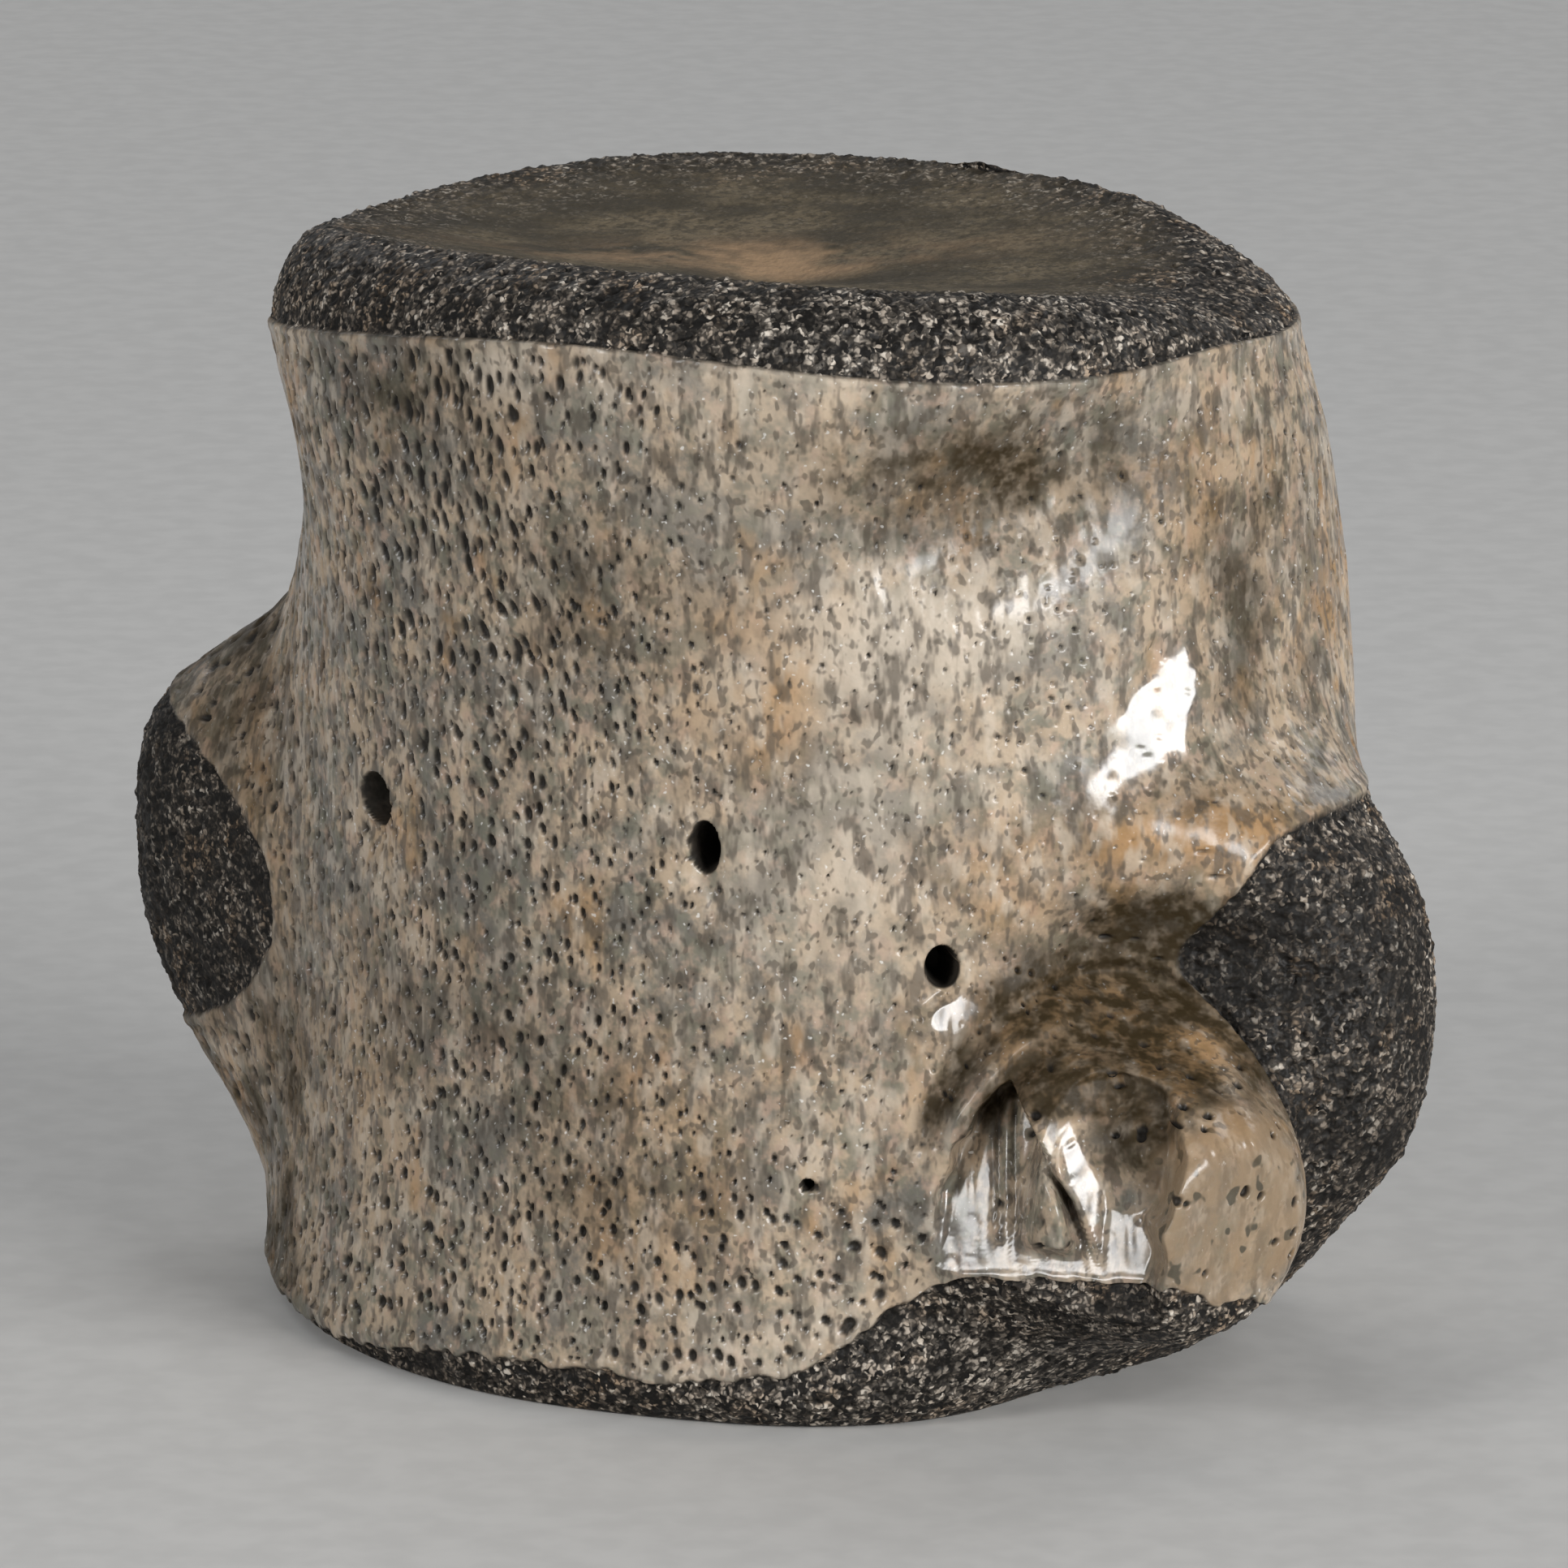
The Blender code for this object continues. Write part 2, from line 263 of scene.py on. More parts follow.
def knob(points):
    """How far each place is pushed out along the knob's own axis, and that axis."""
    axis = np.array(KNOB_AXIS) @ BONE_AXES
    axis = axis / np.linalg.norm(axis)
    offset = points - np.array(KNOB_MIDDLE) @ BONE_AXES
    along = offset @ axis
    across = np.linalg.norm(offset - np.outer(along, axis), axis=1)
    away = np.linalg.norm(offset, axis=1)
    stump = (STUMP_LENGTH - along) / (1.0 + (across / STUMP_RADIUS) ** STUMP_STEEPNESS)
    collar = COLLAR_RISE / (1.0 + (away / COLLAR_RADIUS) ** COLLAR_STEEPNESS)
    return np.where(away < KNOB_REACH, stump + collar, 0.0), axis


# %% [markdown]
# # The whole smooth bone
# Now the parts come together in one function. A second function asks it for places a hair's
# breadth to each side, which gives the direction straight out of the bone. All fine detail
# is laid along that direction.

# %% Places on the bone
ANGLE_STEP = 0.05
STATION_STEP = 0.002


def shape(angle, station):
    """Turn angles and stations into places on the smooth bone."""
    wide, deep, height = outline(angle, station)
    turned = np.radians(angle)
    on_wall = np.sin(np.clip(station - LOWER_RING, 0.0, 1.0) * math.pi / 2.0)
    on_wall = on_wall * np.sin(np.clip(UPPER_RING - station, 0.0, 1.0) * math.pi / 2.0)

    outward = np.stack((np.sin(turned) / END_WIDTH, np.cos(turned) / END_DEPTH), axis=1)
    outward = outward / np.linalg.norm(outward, axis=1)[:, None]
    push = wall_forms(angle, height) * on_wall
    flank = wide * np.sin(turned) + outward[:, 0] * push
    under = deep * np.cos(turned) + outward[:, 1] * push

    right = rib_seat(under, height, RIGHT_SEAT)
    left = rib_seat(under, height, LEFT_SEAT)
    outer_right = np.sqrt(np.clip(flank / (END_WIDTH / 2.0), 0.0, 1.0))
    outer_left = np.sqrt(np.clip(-flank / (END_WIDTH / 2.0), 0.0, 1.0))
    flank = flank + (right * outer_right - left * outer_left) * on_wall

    points = np.outer(flank, TO_FLANK) + np.outer(under, TO_UNDERSIDE)
    points[:, 2] = height
    push, axis = knob(points)
    points = points + np.outer(push * on_wall, axis)
    from_middle = np.linalg.norm(points[:, :2], axis=1)
    points[:, 2] -= PIT_DEPTH * bell(from_middle, PIT_RADIUS) * (station > UPPER_RING)
    return points


def way_out(angle, station):
    """The direction straight out of the smooth bone."""
    round_it = shape(angle + ANGLE_STEP, station) - shape(angle - ANGLE_STEP, station)
    higher = np.minimum(station + STATION_STEP, TOP)
    lower = np.maximum(station - STATION_STEP, 0.0)
    out = np.cross(round_it, shape(angle, higher) - shape(angle, lower))
    size = np.linalg.norm(out, axis=1)[:, None]
    straight = np.where((station > UPPER_RING)[:, None], UPWARDS, -UPWARDS)
    return np.where(size > 1e-14, out / np.maximum(size, 1e-14), straight)


probe = shape(np.array((0.0, 90.0)), np.array((2.5, 2.3)))
print("underside and knob side, mm:", (1000.0 * probe).round(1).tolist())

# %% [markdown]
# # Steady chance
# Pits and grains lie at random, but the bone has to look the same each time it is made. A
# draw here is not a stream of random numbers: it is worked out from the number of a cell, so
# two pieces that share a border get the same draw there.

# %% Draws, clouds and grains
SMALLEST = 1e-9


def draw(seed, *cells):
    """A steady random number, 0 to 1, for each whole-numbered cell."""
    mixed = np.full(np.shape(cells[0]), seed * 362437, dtype=np.int64)
    for number, cell in zip((374761393, 668265263, 1442695041), cells):
        mixed = (mixed + cell.astype(np.int64) * number) & 0xFFFFFFFF
        mixed = ((mixed ^ (mixed >> 13)) * 1274126177) & 0xFFFFFFFF
    return (mixed ^ (mixed >> 16)) / 2.0 ** 32


def soft_step(value, low, high):
    """0 under the low value, 1 over the high one, with a soft slope between."""
    share = np.clip((value - low) / (high - low), 0.0, 1.0)
    return share * share * (3.0 - 2.0 * share)


def cloud(places, size, seed):
    """Soft random blobs of about this size, from -1 to 1."""
    scaled = places / size
    cell = np.floor(scaled)
    share = scaled - cell
    share = share * share * (3.0 - 2.0 * share)
    total = np.zeros(len(places))
    for corner in itertools.product((0.0, 1.0), repeat=3):
        weight = np.prod(np.where(np.array(corner) > 0.5, share, 1.0 - share), axis=1)
        total += weight * draw(seed, *(cell + corner).T)
    return 2.0 * total - 1.0


def grains(places, size, seed):
    """How far each place is from its nearest grain, and a draw for the grain."""
    scaled = places / size
    cell = np.floor(scaled)
    nearest = np.full(len(places), 9.0)
    luck = np.zeros(len(places))
    for step in itertools.product((-1.0, 0.0, 1.0), repeat=3):
        at = cell + step
        spot = np.stack([draw(seed + k, *at.T) for k in range(3)], axis=1)
        away = np.linalg.norm(at + spot - scaled, axis=1)
        closer = away < nearest
        nearest = np.where(closer, away, nearest)
        luck = np.where(closer, draw(seed + 3, *at.T), luck)
    return nearest, luck


print("three draws:", draw(1, np.arange(3)).round(3))

# %% [markdown]
# # The way the fibres run
# The cortex is laid down in fibres along the bone. They run up the wall, lean a little on the
# underside and gather towards the upper corner of the right rib seat. Everything that follows
# the fibres is drawn in coordinates that lean with them.

# %% Fibre coordinates
MM = 0.001
UNDERSIDE_LEAN = 7.0
SEAT_LEAN = 13.0
WANDER = 2.2


def round_angle(places):
    """The angle of each place round the bone, in degrees."""
    return np.degrees(np.arctan2(places @ TO_FLANK, places @ TO_UNDERSIDE))


def fibre_angle(places):
    """The angle of the fibre that passes through each place, in degrees."""
    angle = round_angle(places)
    up = soft_step(places[:, 2], 0.022, 0.044)
    lean = UNDERSIDE_LEAN * up * bell(round_the_bone(angle, 10.0), 45.0)
    gather = 1.0 - soft_step(places[:, 2], 0.027, 0.045)
    lean = lean - SEAT_LEAN * gather * bell(round_the_bone(angle, 90.0), 20.0)
    return angle + lean + WANDER * cloud(places * (1.0, 1.0, 0.5), 5.0 * MM, 11)


def fibre_places(places, angle):
    """The places turned round the axis until the fibres stand upright."""
    radius = np.hypot(places[:, 0], places[:, 1])
    turned = np.radians(angle)
    return np.stack((radius * np.cos(turned), radius * np.sin(turned), places[:, 2]), axis=1)


# %% [markdown]
# # Pits of the cortex
# Blood vessels left the young bone through thousands of small pits. Near the upper end they
# are slots along the fibres, lower down they are rounder, and the right middle of the
# underside has few. Each cell of a lattice holds at most one pit, moved by a draw.

# %% Pits
PIT_COLUMNS = 196
PIT_PITCH = 0.98 * MM
PIT_HALF_WIDTH = 0.155 * MM
PIT_LEAN = -0.18
WALL_RADIUS = 21.5 * MM
PITLESS_BAND = 0.55 * MM
SLOT_ANGLE = -16.0
SLOT_SPREAD = 42.0
SLOT_HEIGHTS = (0.020, 0.040)
LOW_HEIGHTS = (0.004, 0.016)
CALM_ANGLE = 60.0
CALM_HALF = 24.0
CALM_SPREAD = 22.0
CALM_HEIGHTS = (0.006, 0.018)


def pits(angle, height):
    """How deep in a pit each place is, 0 to 1."""
    slot = soft_step(height, *SLOT_HEIGHTS) * bell(round_the_bone(angle, SLOT_ANGLE), SLOT_SPREAD)
    low = 1.0 - soft_step(height, *LOW_HEIGHTS)
    beside_calm = np.abs(round_the_bone(angle, CALM_ANGLE)) - CALM_HALF
    calm = bell(np.maximum(beside_calm, 0.0), CALM_SPREAD) * soft_step(height, *CALM_HEIGHTS)
    half_wide = PIT_HALF_WIDTH * (1.00 + 0.40 * slot + 0.22 * low - 0.42 * calm)
    half_tall = PIT_HALF_WIDTH * (1.45 + 1.10 * slot + 0.10 * low - 0.75 * calm)
    across = angle * PIT_COLUMNS / 360.0
    along = height / PIT_PITCH
    column = np.floor(across)
    row = np.floor(along)
    cell_width = math.tau * WALL_RADIUS / PIT_COLUMNS
    deep = np.zeros(len(angle))
    for step_across, step_along in itertools.product((-1.0, 0.0, 1.0), repeat=2):
        cell = ((column + step_across) % PIT_COLUMNS, row + step_along)
        spot_across = column + step_across + 0.05 + 0.90 * draw(21, *cell)
        spot_along = row + step_along + 0.05 + 0.90 * draw(22, *cell)
        size = 0.55 + 0.95 * draw(23, *cell) ** 1.6
        there = draw(24, *cell) > 0.02 + 0.30 * calm
        slant = (PIT_LEAN + (draw(25, *cell) - 0.5) * 0.5) * cell_width / PIT_PITCH
        beside = (across - spot_across) * cell_width - slant * (along - spot_along) * PIT_PITCH
        off = np.hypot(beside / half_wide, (along - spot_along) * PIT_PITCH / half_tall) / size
        strong = np.minimum(1.2 * size, 1.0) * (0.65 + 0.50 * draw(26, *cell)) * (1.0 - 0.35 * calm)
        deep = np.maximum(deep, there * strong * (1.0 - soft_step(off, 0.25, 1.3)))
    return deep


# %% [markdown]
# # Pits of the knob
# The knob turns away from the fibres, and its pits are few and round. Small balls are spread
# through space, and a pit is where the surface cuts one of them.

# %% Round pits
BALL_SPREAD = 1.05 * MM
BALL_RADIUS = 0.27 * MM


def round_pits(places):
    """How deep in a round pit each place is, 0 to 1."""
    nearest, luck = grains(places, BALL_SPREAD, 71)
    there = luck > 0.35
    away = nearest * BALL_SPREAD / BALL_RADIUS + 0.35 * cloud(places, 0.35 * MM, 72)
    return there * (1.0 - soft_step(away, 0.4, 1.15))


# %% [markdown]
# # Where the cortex stops
# Both ends, both rib seats and the two seats of the neural arch were capped with cartilage, so
# the bone under it is open and grainy. One function gives the distance into such a region, in
# metres, negative out on the cortex. The step at the border, grain and colour all read it.

# %% Grainy regions
RIGHT_FACET = (-0.0022, 0.0155, 0.0072, 0.0090, 0.0106, 4.0)
LEFT_FACET = (0.0025, 0.0180, 0.0083, 0.0090, 0.0080, 2.0)
FACET_FLANK = 0.0105
ARCH_SEAT_OFF = 30.0
ARCH_SEAT_HALF_TURN = 9.5
ARCH_SEAT_HALF_WIDTH = 3.4 * MM
LOW_GRAIN_WAVES = (
    Wave(44, 16, 0.0024),
    Wave(66, 20, 0.0014),
    Wave(102, 20, 0.0024),
    Wave(61, 5, -0.0012),
    Wave(-40, 25, -0.0005),
)
BORDER_WANDER = 0.07 * MM
LOW_WANDER = 0.25 * MM
CURL_SHARE = 0.8


def facet(places, side, sizes):
    """The distance into the worn face of a rib seat."""
    middle_under, middle_height, to_underside, to_back, tall, squareness = sizes
    across = places @ TO_UNDERSIDE - middle_under
    across = np.abs(across) / np.where(across > 0.0, to_underside, to_back)
    along = np.abs(places[:, 2] - middle_height) / tall
    away = (across ** squareness + along ** squareness) ** (1.0 / squareness)
    return np.where(side * (places @ TO_FLANK) > FACET_FLANK, (1.0 - away) * tall, -tall)


def arch_seats(angle, height):
    """The distance into the rough seats on the back that carried the neural arch."""
    beside = (np.abs(round_the_bone(angle, 180.0)) - ARCH_SEAT_OFF) / ARCH_SEAT_HALF_TURN
    along = (height - ARCH_MIDDLE) / ARCH_HALF_LENGTH
    return (1.0 - (beside ** 4 + along ** 4) ** 0.25) * ARCH_SEAT_HALF_WIDTH


def into_grain(angle, station, places):
    """How far each place lies inside a grainy region."""
    low, high, rim, low_width, high_width = edge_lines(angle)
    on_wall = high - low
    above = (station - UPPER_CORNER) * np.where(
        station > UPPER_CORNER, CURL_SHARE * (rim - high + high_width), on_wall)
    below = (LOWER_CORNER - station) * np.where(
        station < LOWER_CORNER, CURL_SHARE * (low + low_width), on_wall)
    ends = np.maximum(above, below + waves(angle, *LOW_GRAIN_WAVES))
    seats = np.maximum(facet(places, 1.0, RIGHT_FACET), facet(places, -1.0, LEFT_FACET))
    seats = np.maximum(seats, arch_seats(angle, places[:, 2]))
    ragged = BORDER_WANDER + LOW_WANDER * (1.0 - soft_step(places[:, 2], 0.005, 0.012))
    wander = cloud(places, 1.1 * MM, 31) + 0.6 * cloud(places, 0.45 * MM, 32)
    return np.maximum(ends, seats) + ragged * wander


# %% [markdown]
# # Crumbs and pores
# Open bone is a mesh of struts with pores between them. Cells with a lucky draw become
# crumbs that stand up, the others pores that go in, and a cloud breaks up their roundness.

# %% Crumbs
CRUMB_SIZE = 0.46 * MM
ROUGH_SIZE = 0.22 * MM


def crumbs(places):
    """The relief of open bone, about -1.5 to 1.5, and how light each place of it is, 0 to 1, darker in the
    pores as painted shade.
    """
    bent = places + 0.12 * MM * cloud(places, 0.5 * MM, 52)[:, None]
    nearest, luck = grains(bent, CRUMB_SIZE, 53)
    hill = 1.0 - soft_step(nearest, 0.05, 0.75)
    rough = cloud(places, ROUGH_SIZE, 57)
    relief = hill * (2.6 * luck - 1.5) + 0.55 * rough
    # The tone follows the relief, so pores come out darker: painted shade.
    tone = np.clip(0.32 + 0.30 * relief + 0.18 * rough, 0.0, 1.0)
    return relief, tone


# %% [markdown]
# # Vessel openings
# Three large holes and a tiny one lead vessels through the cortex. A hole is a push inwards,
# steep at its edge, with a shallow gutter below where the vessel came out at a slant. Its inside
# is also painted dark, as painted shade.

# %% Openings
Opening = namedtuple("Opening", "angle height width tall depth")
OPENINGS = (
    Opening(-29.6, 0.0252, 0.0021, 0.0023, 0.0030),
    Opening(18.6, 0.0256, 0.00115, 0.0023, 0.0030),
    Opening(45.9, 0.0206, 0.0014, 0.0018, 0.0030),
    Opening(30.0, 0.0111, 0.0005, 0.0006, 0.0010),
)
GUTTER_SHARE = 0.12


def openings(angle, places):
    """How far the vessel openings sink the surface, and how dark their insides are painted, as painted
    shade.
    """
    sunk = np.zeros(len(places))
    dark = np.zeros(len(places))
    radius = np.hypot(places[:, 0], places[:, 1])
    for hole in OPENINGS:
        across = np.radians(round_the_bone(angle, hole.angle)) * radius
        along = places[:, 2] - hole.height
        off = np.hypot(across / (hole.width / 2.0), along / (hole.tall / 2.0))
        gutter = np.hypot(across / (0.6 * hole.width), (along + 0.62 * hole.tall) / (0.55 * hole.tall))
        inside = 1.0 - soft_step(off, 0.55, 1.10)
        sunk += hole.depth * (inside + GUTTER_SHARE * bell(gutter, 0.9))
        # The inside of each hole is painted dark: painted shade.
        dark = np.maximum(dark, 1.0 - soft_step(off, 0.95, 1.15))
    return sunk, dark


# %% [markdown]
# # The knob's ledges
# The knob is not a plain stump. A dark crease and an arched ledge run round its root, a second
# ledge lies inside, and under that the bone is scooped out with a tongue standing in the
# scoop. All of them face forward, so they are laid out from left to right and upwards.

# %% Ledges
LEDGE_MIDDLE = (0.0136, 0.0116)
CREASE = (7.9 * MM, 0.48 * MM, -1.05 * MM)
LEDGE = (6.9 * MM, 0.45 * MM, 0.30 * MM)
BAND = (6.1 * MM, 0.45 * MM, -0.40 * MM)
INNER_LEDGE = (5.2 * MM, 0.38 * MM, 0.35 * MM)
RIPPLE = 0.05 * MM
RIPPLE_PITCH = 0.62 * MM
KNOB_SPREAD = 0.0125
LEDGE_HEIGHTS = (0.0118, 0.0148)
FRONT = (0.011, 0.014)


def ledges(right, up, wobble):
    """How far the ledges stand forward, and how dark the band between them and the crease above it are; the
    crease is partly stain, partly painted shade.
    """
    radius = np.hypot(right - LEDGE_MIDDLE[0], up - LEDGE_MIDDLE[1]) + wobble
    over = soft_step(up, *LEDGE_HEIGHTS)
    rings = (CREASE, LEDGE, BAND, INNER_LEDGE)
    forward = sum(rise * bell(radius - ring, wide) for ring, wide, rise in rings)
    forward = forward * (1.0 + 3.0 * wobble / MM)
    forward = forward + RIPPLE * np.cos(math.tau * radius / RIPPLE_PITCH) * bell(radius - BAND[0], 1.4 * MM)
    # The brown band is the bone's own colour; the crease above it is darkened too, partly stain and partly
    # painted shade.
    dark = bell(radius - BAND[0], 1.3 * MM) + bell(radius - CREASE[0], 0.6 * MM)
    dark = dark * (1.0 - 0.75 * bell(radius - LEDGE[0], 0.30 * MM))
    return forward * over, np.clip(dark, 0.0, 1.0) * over, bell(radius, KNOB_SPREAD)


trial = ledges(np.array((0.0142,)), np.array((0.0182,)), 0.0)
print("crease, mm:", round(1000.0 * float(trial[0][0]), 2))

# %% [markdown]
# # Worn flats
# Some places are worn to a plane and shine in one piece, as one between the crest and the
# hollow does. A plane needs one place and two slopes; places near it are drawn onto it. The
# floor of the knob's scoop is such a plane too, so it leans back and catches the light.

# %% Flats
Flat = namedtuple("Flat", "right height wide tall ahead across upward")
FLATS = (
    Flat(0.0157, 0.0306, 0.0022, 0.0033, 0.0161, -0.42, -0.30),
    Flat(0.0074, 0.0186, 0.0015, 0.0010, 0.0196, -0.38, -0.28),
)
FLAT_LEAN = 0.40
SCOOP_FLOOR = Flat(0.0083, 0.0100, 0.0, 0.0, 0.0212, 0.46, -0.40)
BUTTRESS = Flat(0.0115, 0.0151, 0.0, 0.0, 0.0230, -0.42, -0.30)


def onto(flat, places):
    """How far each place has to come forward to lie on a flat's plane."""
    aside = flat.across * (places[:, 0] - flat.right)
    above = flat.upward * (places[:, 2] - flat.height)
    return flat.ahead + aside + above + places[:, 1]


def flats(places):
    """How far the flats move the surface forward, and where they are."""
    forward = np.zeros(len(places))
    worn = np.zeros(len(places))
    for flat in FLATS:
        above = places[:, 2] - flat.height
        beside = places[:, 0] - flat.right - FLAT_LEAN * above
        ragged = 0.18 * cloud(places, 1.4 * MM, 46) + 0.12 * cloud(places, 0.6 * MM, 49)
        near = 1.0 - soft_step(np.hypot(beside / flat.wide, above / flat.tall) + ragged, 0.60, 1.30)
        near = near * soft_step(-places[:, 1], *FRONT)
        forward += near * onto(flat, places)
        worn = np.maximum(worn, near)
    return forward, worn


trial = flats(np.array(((0.0158, -0.0160, 0.0305),)))
print("flat moves its middle, mm:", round(1000.0 * float(trial[0][0]), 2))

# %% [markdown]
# # Scoop and tongue
# The scoop is an arch that leans to the right; its roof is painted dark brown, as painted shade
# under the arch. A tongue stands in it, widest at its foot, with two grooves to its left. Beyond a
# slanting slit, also painted dark as shade, a buttress runs down from the brown neck. The tip of
# the knob is a worn face of its own colour.

# %% Scoop, tongue and tip
SCOOP_MIDDLE = (0.0111, 0.0110)
SCOOP_HALVES = (4.7 * MM, 5.9 * MM)
SCOOP_LEAN = 0.40
SCOOP_ROUNDNESS = 2.5
SCOOP_FOOT = 0.0066
SCOOP_DEEPEST = 3.2 * MM
TONGUE_MIDDLE = 0.0112
TONGUE_FOOT = 0.0090
TONGUE_TOP = 0.0160
TONGUE_HALF_WIDTH = 1.15 * MM
TONGUE_DEEP = 0.55 * MM
GROOVES = (0.00915, 0.00985)
GROOVE_WIDTH = 0.15 * MM
GROOVE_DEEP = 0.35 * MM
SLANT = 0.52
SLIT = (0.0118, 0.0117)
SLIT_WIDTH = 0.22 * MM
SLIT_HALF_LENGTH = 1.0 * MM
SLIT_DEEP = 1.2 * MM
NECK = (0.0152, 0.0140, 2.2 * MM, 1.5 * MM)
NECK_BEYOND = (1.7 * MM, 2.3 * MM)
ROOF_HEIGHTS = (0.0144, 0.0153)
SHINE_HEIGHTS = (0.0126, 0.0142)
STREAK_BEYOND = 1.4 * MM
STREAK_WIDTH = 0.8 * MM
STREAK_HEIGHTS = (0.0146, 0.0156)
TIP_MIDDLE = (0.0187, 0.0113)
TIP_HALVES = (3.6 * MM, 4.2 * MM)


def scoop_arch(places):
    """How far inside the arch of the scoop each place is, 0 to 1."""
    rise = np.maximum(places[:, 2] - SCOOP_MIDDLE[1], 0.0)
    across = np.abs(places[:, 0] - SCOOP_MIDDLE[0] - SCOOP_LEAN * rise) / SCOOP_HALVES[0]
    along = rise / SCOOP_HALVES[1]
    away = (across ** SCOOP_ROUNDNESS + along ** SCOOP_ROUNDNESS) ** (1.0 / SCOOP_ROUNDNESS)
    inside = 1.0 - soft_step(away + 0.06 * cloud(places, 1.2 * MM, 48), 0.90, 1.06)
    return inside * soft_step(places[:, 2], SCOOP_FOOT - 0.4 * MM, SCOOP_FOOT + 0.1 * MM)


def scoop(places):
    """How far the scoop sinks in, where its shiny floor is, and where it is painted dark: the brown neck,
    and the roof and slit as painted shade.
    """
    right = places[:, 0]
    up = places[:, 2]
    beyond = right - SLIT[0] + SLANT * (up - SLIT[1])
    floor = onto(SCOOP_FLOOR, places)
    higher = np.maximum(onto(BUTTRESS, places) - floor, 0.0)
    sunk = np.clip(-floor - higher * soft_step(beyond, 0.0, 0.2 * MM), -0.2 * MM, SCOOP_DEEPEST)
    narrow = np.clip((TONGUE_TOP - up) / (TONGUE_TOP - TONGUE_FOOT), 0.35, 1.0)
    tongue = np.exp(-((right - TONGUE_MIDDLE) / (TONGUE_HALF_WIDTH * narrow)) ** 4)
    tongue = tongue * soft_step(up, TONGUE_FOOT - 0.2 * MM, TONGUE_FOOT + 0.7 * MM)
    sunk = sunk + tongue * np.minimum(TONGUE_DEEP - sunk, 0.0)
    grooves = sum(bell(right - groove, GROOVE_WIDTH) for groove in GROOVES)
    grooves = grooves * soft_step(up, TONGUE_FOOT - 0.4 * MM, TONGUE_FOOT + 1.2 * MM)
    slit = bell(beyond, SLIT_WIDTH) * bell(up - SLIT[1], SLIT_HALF_LENGTH)
    neck = bell((right - NECK[0]) / NECK[2], 1.0) * bell((up - NECK[1]) / NECK[3], 1.0)
    neck = neck * soft_step(beyond, *NECK_BEYOND)
    inside = scoop_arch(places)
    roof = inside * soft_step(up, *ROOF_HEIGHTS)
    sunk = inside * (sunk * (1.0 - 0.5 * neck) + GROOVE_DEEP * grooves + SLIT_DEEP * slit)
    shiny = inside * (1.0 - tongue) * (1.0 - np.clip(grooves + slit + neck, 0.0, 1.0))
    # The brown neck, with painted shade on the roof and in the slit.
    return sunk, shiny, np.maximum(np.maximum(neck, roof), inside * slit)


def knob_marks(places):
    """How far the knob's fine forms stand forward, its tip, its scoop and its dark band, which also carries
    painted shade in the crease, the scoop's roof and the slit.
    """
    right = places[:, 0]
    up = places[:, 2]
    ledge, dark, near = ledges(right, up, 0.22 * MM * cloud(places, 3.0 * MM, 45))
    sunk, shiny, dull = scoop(places)
    off_tip = np.hypot((right - TIP_MIDDLE[0]) / TIP_HALVES[0], (up - TIP_MIDDLE[1]) / TIP_HALVES[1])
    front = soft_step(-places[:, 1], *FRONT)
    tip = front * (1.0 - soft_step(off_tip + 0.12 * cloud(places, 1.5 * MM, 47), 0.85, 1.12))
    beyond = right - SLIT[0] + SLANT * (up - SLIT[1])
    streak = bell(beyond - STREAK_BEYOND, STREAK_WIDTH) * (1.0 - soft_step(up, *STREAK_HEIGHTS))
    clean = shiny * np.maximum(1.0 - soft_step(up, *SHINE_HEIGHTS), streak)
    dark = near * np.maximum(dark * (1.0 - clean), dull) * (1.0 - tip)
    return front * (near * ledge - sunk), tip, front * clean, front * dark


# %% [markdown]
# # The finished surface
# All fine forms are added up here, each in real size: swells of a few millimetres, fibres,
# pits a third of a millimetre deep, the step down to the grainy bone, and its grains. The
# same function keeps what the finish needs later, as numbers from 0 to 1.

# %% Relief
PIT_SINK = 0.30 * MM
STEP_DOWN = 0.20 * MM
LIP_RISE = 0.06 * MM
CRUMB_RISE = 0.12 * MM
STRAND_WIDTH = 0.40 * MM
STRAND_RISE = 0.035 * MM
SWELL_RISE = 0.09 * MM
FOOT_FADE = 0.35 * MM
KNOB_SIDE = (0.0235, 0.0255)
KNOB_SLOPE = 0.3
KNOB_UNDER = 0.0225


def end_calm(station):
    """How worn smooth the middle of the end faces is, 0 to 1."""
    top = soft_step(station, UPPER_RING - 0.15, UPPER_RING + 0.34)
    low = 1.0 - soft_step(station, LOWER_RING - 0.30, LOWER_RING)
    return np.maximum(top, low)


